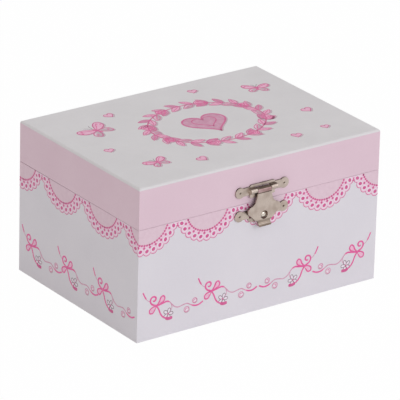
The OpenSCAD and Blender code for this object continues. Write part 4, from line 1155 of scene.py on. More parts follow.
@dataclass
class LidPicture:
    """Picture on the lid: a wreath of leaves and buds round a heart, with butterflies and small hearts.

    Attributes:
        top: Height of the lid's top.
        middle: Middle of the wreath.
        wreath: Half width and half depth of the wreath.
        leaves: Pairs of leaves in it.
        buds: Rosebuds in it.
        splay: Turn of a pair's two leaves from the wreath's line, in degrees.
        lengths: Lengths of a pair's two leaves.
        shadow: Offset of the printed shadows.
        butterflies: Place, span and turn of each butterfly.
        small_hearts: Place, width and turn of each small heart.
        art: The drawing.
    """

    top: float = 84.7
    middle: Point = (5.0, 1.0)
    wreath: Point = (33.0, 26.0)
    leaves: int = 24
    buds: int = 8
    splay: Point = (34.0, -38.0)
    lengths: Point = (8.4, 7.6)
    shadow: Point = (0.9, -0.9)
    butterflies: tuple[tuple[Point, float, float], ...] = (
        ((-50, 22), 20, 24),
        ((56, 27), 15, -18),
        ((-48, -30), 14, 12),
    )
    small_hearts: tuple[tuple[Point, float, float], ...] = (
        ((-33, 36), 5.5, 14),
        ((-60, -4), 5, -12),
        ((-26, -38), 6, 18),
        ((34, -38), 5.5, -16),
        ((60, -12), 6, 10),
        ((54, -36), 4.5, -8),
        ((24, 41), 5, -14),
    )
    art: Artwork = field(default_factory=Artwork)

    def round_wreath(self, share: float) -> tuple[Point, float]:
        """Point and heading of the wreath at a share of its round."""
        turn = math.tau * share
        at = (
            self.middle[0] + self.wreath[0] * math.cos(turn),
            self.middle[1] + self.wreath[1] * math.sin(turn),
        )
        heading = math.atan2(self.wreath[1] * math.cos(turn), -self.wreath[0] * math.sin(turn))
        return at, math.degrees(heading)

    def shaded(self, ink: Finish, outline: Sequence[Point], line: float = 0.5) -> None:
        """Draws a filled shape with its outline and a printed shadow."""
        dx, dy = self.shadow
        self.art.shape(Finish.SHADE_INK, [(x + dx, y + dy) for x, y in outline])
        self.art.shape(ink, outline)
        self.art.stroke(Finish.LACE_INK, outline, line, loop=True, per_span=2)

    @staticmethod
    def moved(points: Sequence[Point], at: Point, turn: float, scale: float = 1.0) -> list[Point]:
        """Points turned by degrees, scaled and put in place."""
        c, s = math.cos(math.radians(turn)), math.sin(math.radians(turn))
        return [(at[0] + scale * (c * x - s * y), at[1] + scale * (s * x + c * y)) for x, y in points]

    def leaf(self, at: Point, turn: float, length: float, ink: Finish) -> None:
        """Draws a pointed leaf from its stalk."""
        half = [(0, 0), (0.22, 0.16), (0.5, 0.22), (0.78, 0.13), (1.0, 0.0)]
        outline = half + [(x, -y) for x, y in half[-2:0:-1]]
        self.shaded(ink, self.moved(outline, at, turn, length), 0.42)
        rib = self.moved([(0.06, 0), (0.5, 0.02), (0.9, 0)], at, turn, length)
        self.art.stroke(Finish.DEEP_INK, rib, 0.5, (0.8, 0.2))
        for x in (0.3, 0.5, 0.7):
            for side in (-1, 1):
                vein = self.moved([(x, 0), (x + 0.12, side * 0.1)], at, turn, length)
                self.art.stroke(Finish.VINE_INK, vein, 0.25, (0.8, 0.3), per_span=2)

    def bud(self, at: Point, radius: float) -> None:
        """Draws an open rosebud of curled petals."""
        dx, dy = self.shadow
        self.art.disc(Finish.SHADE_INK, (at[0] + dx, at[1] + dy), radius * 1.05, sides=20)
        self.art.disc(Finish.SOFT_INK, at, radius, sides=20)
        turns = [math.tau * k / 9 for k in range(9)]
        ring = [(at[0] + radius * math.cos(a), at[1] + radius * math.sin(a)) for a in turns]
        self.art.stroke(Finish.LACE_INK, ring, 0.5, loop=True, per_span=3)
        for start, share in ((20, 0.72), (140, 0.66), (260, 0.7), (80, 0.4), (220, 0.36)):
            curl = [
                (at[0] + share * radius * math.cos(a), at[1] + share * radius * math.sin(a))
                for a in (math.radians(start + step) for step in (0, 40, 80, 120))
            ]
            self.art.stroke(Finish.DEEP_INK, curl, 0.62, (0.3, 0.3))
        self.art.disc(Finish.DEEP_INK, at, radius * 0.16, sides=10)

    def heart(self, at: Point, width: float, turn: float, ink: Finish) -> None:
        """Draws a heart with a highlight."""
        outline = []
        for k in range(36):
            t = math.tau * k / 36
            x = 16 * math.sin(t) ** 3
            y = 13 * math.cos(t) - 5 * math.cos(2 * t) - 2 * math.cos(3 * t) - math.cos(4 * t)
            outline.append((x / 32, y / 32))
        self.shaded(ink, self.moved(outline, at, turn, width), 0.03 * width + 0.3)
        gleam = self.moved([(-0.36, 0.1), (-0.33, 0.26), (-0.2, 0.31)], at, turn, width)
        light = Finish.WHITE_INK if ink == Finish.SOFT_INK else Finish.SOFT_INK
        self.art.stroke(light, gleam, 0.07 * width)

    def butterfly(self, at: Point, span: float, turn: float) -> None:
        """Draws a butterfly seen from above."""
        for side in (-1, 1):
            upper = [(0.03, 0.02), (0.18, 0.24), (0.4, 0.34), (0.5, 0.24), (0.42, 0.06), (0.2, -0.02)]
            lower = [(0.03, -0.03), (0.22, -0.05), (0.34, -0.16), (0.3, -0.32), (0.17, -0.3), (0.06, -0.16)]
            for wing, ink in ((lower, Finish.BAND_INK), (upper, Finish.SOFT_INK)):
                smooth = [tuple(p) for p in smooth_line([(side * x, y) for x, y in wing], 4, True)[:-1]]
                outline = self.moved(smooth, at, turn, span)
                dx, dy = self.shadow
                self.art.shape(Finish.SHADE_INK, [(x + dx, y + dy) for x, y in outline])
                self.art.shape(ink, outline)
                self.art.stroke(Finish.LACE_INK, outline, 0.6, loop=True, per_span=1)
            for x, y in ((0.36, 0.24), (0.42, 0.16), (0.24, -0.2)):
                spot = self.moved([(side * x, y)], at, turn, span)[0]
                self.art.disc(Finish.DEEP_INK, spot, 0.035 * span, sides=10)
            vein = [(side * 0.05, 0.03), (side * 0.2, 0.14), (side * 0.34, 0.26)]
            self.art.stroke(Finish.DEEP_INK, self.moved(vein, at, turn, span), 0.45, (0.7, 0.2))
            feeler = [(side * 0.01, 0.12), (side * 0.06, 0.26), (side * 0.12, 0.34)]
            self.art.stroke(Finish.GREY_INK, self.moved(feeler, at, turn, span), 0.3)
        trunk = self.moved([(0, 0.14), (0, 0), (0, -0.2)], at, turn, span)
        self.art.stroke(Finish.DEEP_INK, trunk, 0.055 * span)

    def build(self) -> None:
        """Draws the picture and prints it on the lid."""
        ring = [self.round_wreath(k / self.leaves)[0] for k in range(self.leaves)]
        self.art.stroke(Finish.LACE_INK, ring, 0.7, loop=True, per_span=3)
        inks = (Finish.SOFT_INK, Finish.VINE_INK, Finish.BAND_INK)
        for k in range(self.leaves):
            at, heading = self.round_wreath(k / self.leaves)
            for n, (splay, length) in enumerate(zip(self.splay, self.lengths, strict=True)):
                self.leaf(at, heading + splay, length, inks[(k + n) % len(inks)])
        small_bud, large_bud = 2.9, 3.5
        for k in range(self.buds):
            at, _ = self.round_wreath((k + 0.5) / self.buds)
            self.bud(at, large_bud if k % 2 else small_bud)
        outer_heart, inner_heart, rise = 25, 14, 1.2
        self.heart(self.middle, outer_heart, 0, Finish.VINE_INK)
        self.heart((self.middle[0], self.middle[1] + rise), inner_heart, 0, Finish.SOFT_INK)
        for at, span, turn in self.butterflies:
            self.butterfly(at, span, turn)
        for at, width, turn in self.small_hearts:
            self.heart(at, width, turn, Finish.SOFT_INK)
        films = self.art.lay("picture", "lid", lambda p: Vector((p.x, p.y, self.top + p.z)))
        LOG.info("lid picture: %d films of print", len(films))


# ---------------------------------------------------------------- metalwork


def eased(
    node: str,
    finish: Finish,
    width: float,
    body: str,
    name: str = "",
    shades: Callable[[Vector, Vector], int] | None = None,
    others: Sequence[Finish] = (),
    cuts: Sequence[float] = (),
) -> bpy.types.Object:
    """A copy of a CAD node with its sharp edges rounded, which stands for it.

    Args:
        node: Name of the node.
        finish: Its finish.
        width: Width of the rounding in millimetres.
        body: Body that it moves with.
        name: Name of the piece, if not the node's with an ending.
        shades: Number of the finish for the middle and the normal of a face.
        others: Finishes after the first one.
        cuts: Heights at which its faces are cut, so that a finish can change there.

    Returns:
        The new piece.
    """
    bm = copied(node)
    bevel_sharp(bm, width)
    for height in cuts:
        geometry = [*bm.verts, *bm.edges, *bm.faces]
        bmesh.ops.bisect_plane(bm, geom=geometry, plane_co=(0, 0, height), plane_no=(0, 0, 1))
    if shades:
        bmesh.ops.recalc_face_normals(bm, faces=bm.faces)
        for face in bm.faces:
            face.material_index = shades(face.calc_center_median(), face.normal)
    piece = add_piece(name or f"{node}_finished", bm, [finish, *others], body)
    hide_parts(node)
    return piece


def facing_front(x: float, y: float, z: float) -> Matrix:
    """Puts a shape that stands on +Z at a place, pointing to the front."""
    return Matrix.Translation((x, y, z)) @ Matrix.Rotation(math.pi / 2, 4, "X")


def facing_back(x: float, y: float, z: float) -> Matrix:
    """Puts a shape that stands on +Z at a place, pointing to the back."""
    return Matrix.Translation((x, y, z)) @ Matrix.Rotation(-math.pi / 2, 4, "X")


@dataclass
class Clasp:
    """Nickel clasp: a plate on the lid, a hasp that swings from it, and a plate with a stud.

    Attributes:
        ear_x: Distance of an ear's nail from the middle.
        lid_nail_z: Height of the nails in the lid plate.
        case_nail_z: Height of the nails in the case plate.
        face_y: Face of the plates.
        stud: Place of the stud's foot.
        stud_r: Radius of the stud.
        nail_r: Radius of a nail's rim.
        head_r: Radius of a nail's head, painted dark as the shade in its hole.
        hinge_x: Distance of a hinge's middle from the middle of the box.
        hinge_nail_x: Distance of a hinge's nails from its middle.
        leaf_y: Face of the hinge leaves on the back.
        lid_leaf_z: Height of the nails in the hinges' upper leaves.
        case_leaf_z: Height of the nails in the hinges' lower leaves.
        skirt_x: Ends of the lid plate's lower edge.
        skirt_z: Height of its middle.
        skirt_h: Its height.
        sheet: Thickness of the metal.
        edge: Rounding of the edges.
        knuckle_x: Nearest and farthest side of a knuckle from the middle.
        knuckle_z: Bottom and top of the knuckles.
        bill_z: Height under which the hasp's bill gets painted shade.
        window_z: Height over which the hasp's top in the window is painted dark as shade and reflection.
        roll_z: Height over which the rolled top in the window gets a painted rosy reflection on its front.
    """

    # Face finishes: plain nickel, painted dark reflection and shade, painted rosy reflection, painted shade on
    # the bill; then a nail's rim, its head painted dark as shade, and a dome.
    PLAIN, DARK, ROSY, PAINTED_SHADE_NICKEL = range(4)
    RIM, HEAD, DOME = range(3)

    ear_x: float = 13.9
    lid_nail_z: float = 68.8
    case_nail_z: float = 55.8
    face_y: float = -55.3
    stud: Place = (0.0, -55.3, 54.85)
    stud_r: float = 1.9
    nail_r: float = 0.92
    head_r: float = 0.56
    hinge_x: float = 45.0
    hinge_nail_x: float = 5.5
    leaf_y: float = 55.3
    lid_leaf_z: float = 69.45
    case_leaf_z: float = 54.45
    skirt_x: Point = (-8.2, 7.6)
    skirt_z: float = 66.12
    skirt_h: float = 2.2
    sheet: float = 0.64
    edge: float = 0.1
    knuckle_x: Point = (4.7, 8.6)
    knuckle_z: Point = (67.0, 70.6)
    bill_z: float = 52.4
    window_z: float = 67.1
    roll_z: float = 67.6

    def nail(self, x: float, z: float) -> bmesh.types.BMesh:
        """A nail in a dished hole, whose head is painted dark as the shade in the hole."""
        r, inner, sunk = self.nail_r, self.head_r, -0.05
        place = facing_front(x, self.face_y, z)
        rim = [(inner, 0.02), (0.6, 0.1), (0.74, 0.16), (r, 0.04), (r, sunk), (inner, sunk)]
        head = [(0, sunk), (inner, sunk), (inner, 0.03), (0.3, 0.07), (0, 0.08)]
        return joined(painted(turned(rim, place, 24), self.RIM), painted(turned(head, place, 20), self.HEAD))

    def hinge_nail(self, x: float, z: float) -> bmesh.types.BMesh:
        """A domed nail in a hinge leaf on the back."""
        dome = [(0, -0.05), (1.1, -0.05), (1.1, 0.06), (0.95, 0.26), (0.62, 0.43), (0.3, 0.49), (0, 0.5)]
        return painted(turned(dome, facing_back(x, self.leaf_y, z), 24), self.DOME)

    def nails(self, body: str, ear_z: float, leaf_z: float) -> None:
        """Makes all nails of the lid or of the case, which stand for that CAD node."""
        parts = [self.nail(side * self.ear_x, ear_z) for side in (-1, 1)]
        parts += [
            self.hinge_nail(side * self.hinge_x + step * self.hinge_nail_x, leaf_z)
            for side in (-1, 1)
            for step in (-1, 1)
        ]
        # Nickel rims, heads painted dark as the shade in their holes, and bright domes.
        finishes = [Finish.NICKEL, Finish.PAINTED_DARK_NICKEL, Finish.BRIGHT_NICKEL]
        piece = add_piece(f"{body}_nail_heads", joined(*parts), finishes, body, True)
        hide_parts(f"{body}_nails")

    def stud_head(self) -> None:
        """Makes the domed stud that shows in the hasp's hole."""
        r = self.stud_r
        profile = [(0, 0), (r, 0), (r, 0.8), (0.86 * r, 1.3), (0.72 * r, 1.75), (0.45 * r, 2.0)]
        profile += [(0.2 * r, 2.09), (0, 2.1)]
        dome = turned(profile, facing_front(*self.stud), 36)
        piece = add_piece("clasp_stud_polished", dome, [Finish.BRIGHT_NICKEL], "case", True)
        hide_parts("clasp_stud")

    def skirt(self) -> None:
        """Adds the lower edge of the lid plate behind the hasp's neck."""
        low, high = self.skirt_x
        bm = bmesh.new()
        middle = Vector(((low + high) / 2, self.face_y - self.sheet / 2, self.skirt_z))
        size = Matrix.Diagonal((high - low, self.sheet, self.skirt_h, 1))
        bmesh.ops.create_cube(bm, size=1, matrix=Matrix.Translation(middle) @ size)
        across = [e for e in bm.edges if abs(e.verts[0].co.y - e.verts[1].co.y) > self.sheet / 2]
        corner_r = 0.7
        bmesh.ops.bevel(bm, geom=across, offset=corner_r, segments=4, profile=0.5, affect="EDGES", material=-1)
        bevel_sharp(bm, self.edge)
        add_piece("lid_plate_skirt", bm, [Finish.NICKEL], "lid")

    def plate_shades(self, middle: Vector, normal: Vector) -> int:
        """Painted dark reflection on the upward faces of a plate, and only a thin painted dark line along the
        top of its knuckles.
        """
        (near, far), (low, high) = self.knuckle_x, self.knuckle_z
        knuckle = near < abs(middle.x) < far and low < middle.z < high
        return self.DARK if normal.z > (0.8 if knuckle else 0.5) else self.PLAIN

    def hasp_shades(self, middle: Vector, normal: Vector) -> int:
        """Painted dark reflection on the hasp's upward faces, painted shade and a painted rosy reflection on its
        rolled top in the window, and painted shade on its bill.
        """
        upward = 0.6
        if middle.z > self.window_z:
            return self.ROSY if middle.z > self.roll_z and abs(normal.z) < 0.42 else self.DARK
        if middle.z < self.bill_z:
            return self.PAINTED_SHADE_NICKEL if normal.z < upward else self.PLAIN
        return self.DARK if normal.z > upward else self.PLAIN

    def build(self) -> None:
        """Builds the clasp and all nails."""
        # Painted dark reflection and shade, painted rosy reflection, and painted shade on the bill.
        others = (Finish.PAINTED_DARK_NICKEL, Finish.PAINTED_ROSY_REFLECTION, Finish.PAINTED_SHADE_NICKEL)
        for node, body, shades, cuts in (
            ("lid_clasp_plate", "lid", self.plate_shades, ()),
            ("case_clasp_plate", "case", self.plate_shades, ()),
            ("hasp", "hasp", self.hasp_shades, (self.bill_z, self.window_z, self.roll_z)),
        ):
            eased(node, Finish.NICKEL, self.edge, body, shades=shades, others=others, cuts=cuts)
        self.skirt()
        dress("clasp_pin", Finish.BRIGHT_NICKEL)
        self.stud_head()
        self.nails("lid", self.lid_nail_z, self.lid_leaf_z)
        self.nails("case", self.case_nail_z, self.case_leaf_z)
        LOG.info("clasp: plates, hasp, stud and nails")


@dataclass
class Backwork:
    """Hinges and the winding key on the back of the box.

    Attributes:
        leaf_edge: Rounding of a hinge leaf's edges.
        key_edge: Rounding of the key's edges.
        ring_edge: Rounding of the edges of the ring round the key.
    """

    leaf_edge: float = 0.12
    key_edge: float = 0.18
    ring_edge: float = 0.15

    def build(self) -> None:
        """Builds the hinges, the key and its ring."""
        for body in ("case", "lid"):
            for side in ("left", "right"):
                eased(f"{body}_leaf_{side}", Finish.NICKEL, self.leaf_edge, body)
        dress("hinge_pins", Finish.STEEL)
        eased("winding_key", Finish.BRIGHT_NICKEL, self.key_edge, "winding")
        eased("key_escutcheon", Finish.NICKEL, self.ring_edge, "case")
        LOG.info("back: hinges and key")


@dataclass
class Movement:
    """The musical movement under the platform, cast, cut and turned in metal.

    Attributes:
        finishes: Finish of each node.
    """

    finishes: dict[str, Finish] = field(
        default_factory=lambda: {
            "bedplate": Finish.GILT_ZINC,
            "spring_barrel": Finish.BRASS,
            "mainspring": Finish.STEEL,
            "winding_arbor": Finish.STEEL,
            "great_wheel": Finish.BRASS,
            "cylinder": Finish.BRASS,
            "cylinder_arbor": Finish.STEEL,
            "cylinder_gear": Finish.BRASS,
            "comb": Finish.STEEL,
            "machine_screws": Finish.STEEL,
            "movement_screws": Finish.STEEL,
            "governor_bracket": Finish.NICKEL,
            "governor_arbor": Finish.STEEL,
            "governor_wheel": Finish.BRASS,
            "governor_worm": Finish.STEEL,
            "fly": Finish.BRASS,
        }
    )

    def build(self) -> None:
        """Dresses every piece of the movement."""
        for node, finish in self.finishes.items():
            dress(node, finish)
        LOG.info("movement: %d pieces", len(self.finishes))


# ---------------------------------------------------------------- inside the box


def swept(knots: Sequence[Knot], per_span: int = 6, sides: int = 12) -> bmesh.types.BMesh:
    """A round bar along a smooth line.

    Args:
        knots: Points of the line, with the bar's radius as their fourth value.
        per_span: Steps between two of them.
        sides: Sides of the bar.

    Returns:
        The closed bar.
    """
    line = smooth_line(knots, per_span)
    bm = bmesh.new()
    side = (line[1].xyz - line[0].xyz).orthogonal().normalized()
    rings = []
    for k, knot in enumerate(line):
        way = (line[min(k + 1, len(line) - 1)].xyz - line[max(k - 1, 0)].xyz).normalized()
        side = (side - way * side.dot(way)).normalized()
        up = way.cross(side)
        rings.append([])
        for a in (math.tau * n / sides for n in range(sides)):
            rings[-1].append(bm.verts.new(knot.xyz + knot.w * (math.cos(a) * side + math.sin(a) * up)))
    for low, high in zip(rings, rings[1:], strict=False):
        for n in range(sides):
            bm.faces.new((low[n], low[(n + 1) % sides], high[(n + 1) % sides], high[n]))
    bm.faces.new(rings[0])
    bm.faces.new(rings[-1])
    return closed(bm)


@dataclass
class RingRolls:
    """Four satin rolls that grip rings in the slits between them.

    Attributes:
        x: Ends of the rolls.
        first_y: Middle of the front roll.
        pitch: Distance between two rolls.
        half_w: Half width of a roll.
        z: Bottom and top of the rolls.
        shrink: Amount by which the core is smaller before it swells.
        reach: Farthest that a point may move.
        voxel: Size of the mesh that swells.
        glued: Height of the strip at the foot that stays put.
        pressure: Pressure inside while it swells.
        frames: Frames of swelling.
        count: Number of rolls.
    """

    x: tuple[float, float] = (26.3, 69.9)
    first_y: float = -40.657
    pitch: float = 16.386
    half_w: float = 7.743
    z: tuple[float, float] = (4.8, 25.0)
    shrink: float = 0.75
    reach: float = 0.85
    voxel: float = 1.1
    glued: float = 1.2
    pressure: float = 4.0
    frames: int = 20
    count: int = 4

    def core(self, shrink: float) -> bmesh.types.BMesh:
        """One roll round y = 0, square below and half round on top, with eased ends."""
        bm = bmesh.new()
        ease = 2.2
        low, high = self.x[0] + shrink, self.x[1] - shrink
        angles = (0.0, 0.4, 0.8, 1.2, math.pi / 2)
        ends = [(ease * (1 - math.cos(a)), ease * (1 - math.sin(a))) for a in angles]
        middle = [(ease + (high - low - 2 * ease) * k / 24, 0.0) for k in range(1, 24)]
        stations = [(low + d, e) for d, e in (*ends, *middle)]
        stations += [(high - d, e) for d, e in reversed(ends)]
        rings = []
        for x, inset in stations:
            r = self.half_w - shrink - inset
            floor = self.z[0] + 0.15 * inset
            top = self.z[1] - self.half_w - 0.35 * inset
            foot = 1.4
            half = [(r - foot, floor), (r - 0.4, floor + 0.4), (r, floor + foot)]
            half += [(r, floor + foot + (top - floor - foot) * k / 6) for k in range(1, 6)]
            half += [(r * math.cos(a), top + r * math.sin(a)) for a in (math.pi * k / 20 for k in range(10))]
            outline = [*half, (0.0, top + r), *((-y, z) for y, z in reversed(half))]
            rings.append([bm.verts.new((x, y, z)) for y, z in outline])
        for one, two in zip(rings, rings[1:], strict=False):
            for n in range(len(one)):
                m = (n + 1) % len(one)
                bm.faces.new((one[n], one[m], two[m], two[n]))
        bm.faces.new(rings[0])
        bm.faces.new(rings[-1])
        return closed(bm)

    def swollen(self) -> bmesh.types.BMesh:
        """Swells the core with Cloth, at ten times its size and glued down at its foot."""
        large = 10 * MM
        bm = self.core(self.shrink)
        bmesh.ops.scale(bm, vec=(large,) * 3, verts=bm.verts)
        mesh = bpy.data.meshes.new("roll_core")
        bm.to_mesh(mesh)
        bm.free()
        core = bpy.data.objects.new("roll_core", mesh)
        bpy.context.scene.collection.objects.link(core)
        remesh = core.modifiers.new("remesh", "REMESH")
        remesh.mode = "VOXEL"
        remesh.voxel_size = self.voxel * large
        graph = bpy.context.evaluated_depsgraph_get()
        even = bpy.data.meshes.new_from_object(core.evaluated_get(graph))
        core.modifiers.clear()
        core.data = even
        rest = [v.co.copy() for v in even.vertices]
        held = core.vertex_groups.new(name="held")
        foot = (self.z[0] + self.glued) * large
        held.add([v.index for v in even.vertices if v.co.z < foot], 1.0, "REPLACE")
        cloth = core.modifiers.new("cloth", "CLOTH")
        cloth.settings.use_pressure = True
        cloth.settings.uniform_pressure_force = self.pressure
        cloth.settings.effector_weights.gravity = 0.0
        cloth.settings.vertex_group_mass = held.name
        for number in range(1, self.frames + 1):
            bpy.context.scene.frame_set(number)
        graph = bpy.context.evaluated_depsgraph_get()
        blown = bpy.data.meshes.new_from_object(core.evaluated_get(graph))
        out = bmesh.new()
        out.from_mesh(blown)
        for vert, start in zip(out.verts, rest, strict=True):
            move = vert.co - start
            if move.length > self.reach * large:
                vert.co = start + move.normalized() * self.reach * large
        bmesh.ops.scale(out, vec=(1 / large,) * 3, verts=out.verts)
        bpy.data.objects.remove(core)
        for unused in (mesh, even, blown):
            bpy.data.meshes.remove(unused)
        bpy.context.scene.frame_set(1)
        return out

    def build(self) -> None:
        """Builds the rolls, which stand for the CAD node."""
        shape = self.swollen()
        for k in range(self.count):
            bm = shape.copy()
            bmesh.ops.translate(bm, vec=(0, self.first_y + k * self.pitch, 0), verts=bm.verts)
            piece = add_piece(f"ring_roll_{k + 1}", bm, [Finish.SATIN], "case", True)
            smooth = piece.modifiers.new("smooth", "SUBSURF")
            smooth.levels = smooth.render_levels = 1
            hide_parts("ring_rolls")
        shape.free()
        LOG.info("ring rolls: %d", self.count)


@dataclass
class Coil:
    """Spring of round wire that is wound along a line in the plane of x = constant.

    Attributes:
        node: Node that it stands for.
        line: Points of its middle line.
        radius: Radius from the middle line to the wire's middle.
        wire: Radius of the wire.
        turns: Number of turns.
        bodies: Bodies of its two ends; not used, as the wire is left free.
        span: Ends of the part that gives, at rest; not used.
    """

    node: str
    line: list[Place]
    radius: float
    wire: float
    turns: float
    bodies: tuple[str, str]
    span: tuple[Place, Place]

    def at(self, run: float) -> tuple[Vector, Vector]:
        """Place and direction on the line after a run in millimetres."""
        row = [Vector(p) for p in self.line]
        for one, two in zip(row, row[1:], strict=False):
            length = (two - one).length
            if run <= length or two is row[-1]:
                return one + (two - one) * (run / length), (two - one).normalized()
            run -= length
        return row[-1], Vector((0, 0, 1))

    def build(self) -> None:
        """Builds the spring, which stands for its node."""
        row = [Vector(p) for p in self.line]
        length = sum((b - a).length for a, b in zip(row, row[1:], strict=False))
        low, high = self.wire, length - self.wire
        per_turn, across = 18, Vector((1, 0, 0))
        dead = 2.2 * self.wire
        knots = []
        for k in range(round(self.turns * per_turn) + 1):
            turn = k / per_turn
            live = (high - low - 2 * dead) / (self.turns - 2)
            run = low + dead * min(turn, 1) + live * min(max(turn - 1, 0), self.turns - 2)
            run += dead * max(turn - self.turns + 1, 0)
            centre, way = self.at(run)
            up = way.cross(across)
            angle = math.tau * turn
            spot = centre + self.radius * (math.cos(angle) * across + math.sin(angle) * up)
            knots.append((*spot, self.wire))
        wire = swept(knots, 1, 8)
        piece = add_piece(f"{self.node}_wire", wire, [Finish.STEEL], self.bodies[0], smooth=True, blended=True)
        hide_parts(self.node)
        start, end = (tuple(v * MM for v in p) for p in self.span)
        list(self.bodies)
        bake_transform(piece)
        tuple(start)
        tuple(end)


@dataclass
class Inside:
    """Mirror, springs, cup and stop rod.

    Attributes:
        rod_spring: Ends of the stop rod's spring.
        axis_y: Place of the dancer's axis from front to back.
        spring_foot: Height of the bottom of the dancer's spring.
        bend_z: Height at which it starts to bend.
        bend_r: Radius of the bend.
        fold: Angle of the bend, in degrees.
        spring_end: End of the spring under the dancer.
        gives: Ends of the stretch that gives as she rises, handed to the spring, which does not use them.
    """

    rod_spring: tuple[Place, Place] = ((16.6, 36.58, 54.8), (16.6, 36.58, 66.0))
    axis_y: float = 30.0
    spring_foot: float = 56.6
    bend_z: float = 57.74
    bend_r: float = 2.6
    fold: float = 82.0
    spring_end: Place = (0.0, 26.336, 60.515)
    gives: tuple[Place, Place] = ((0.0, 28.64, 58.77), (0.0, 27.2, 59.86))

    def springs(self) -> None:
        """Builds the stop rod's spring and the dancer's."""
        Coil(
            node="stop_spring",
            line=[*self.rod_spring],
            radius=1.55,
            wire=0.24,
            turns=8.0,
            bodies=("case", "stop_rod"),
            span=self.rod_spring,
        ).build()
        y, r = self.axis_y, self.bend_r
        bend = [math.radians(self.fold * k / 8) for k in range(9)]
        line = [(0, y, self.spring_foot)]
        line += [(0, y - r + r * math.cos(a), self.bend_z + r * math.sin(a)) for a in bend]
        line.append(self.spring_end)
        Coil(
            node="dancer_spring",
            line=line,
            radius=1.88,
            wire=0.3,
            turns=8.0,
            bodies=("case", "dancer_tilt"),
            span=self.gives,
        ).build()

    def build(self) -> None:
        """Builds the pieces inside that aren't cloth."""
        eased("mirror", Finish.MIRROR, 0.35, "lid", "mirror_glass_polished")
        dress("stop_rod", Finish.STEEL)
        dress("drive_cup", Finish.BRIGHT_NICKEL)
        self.springs()
        LOG.info("inside: mirror, rod, cup and springs")


# ---------------------------------------------------------------- dancer


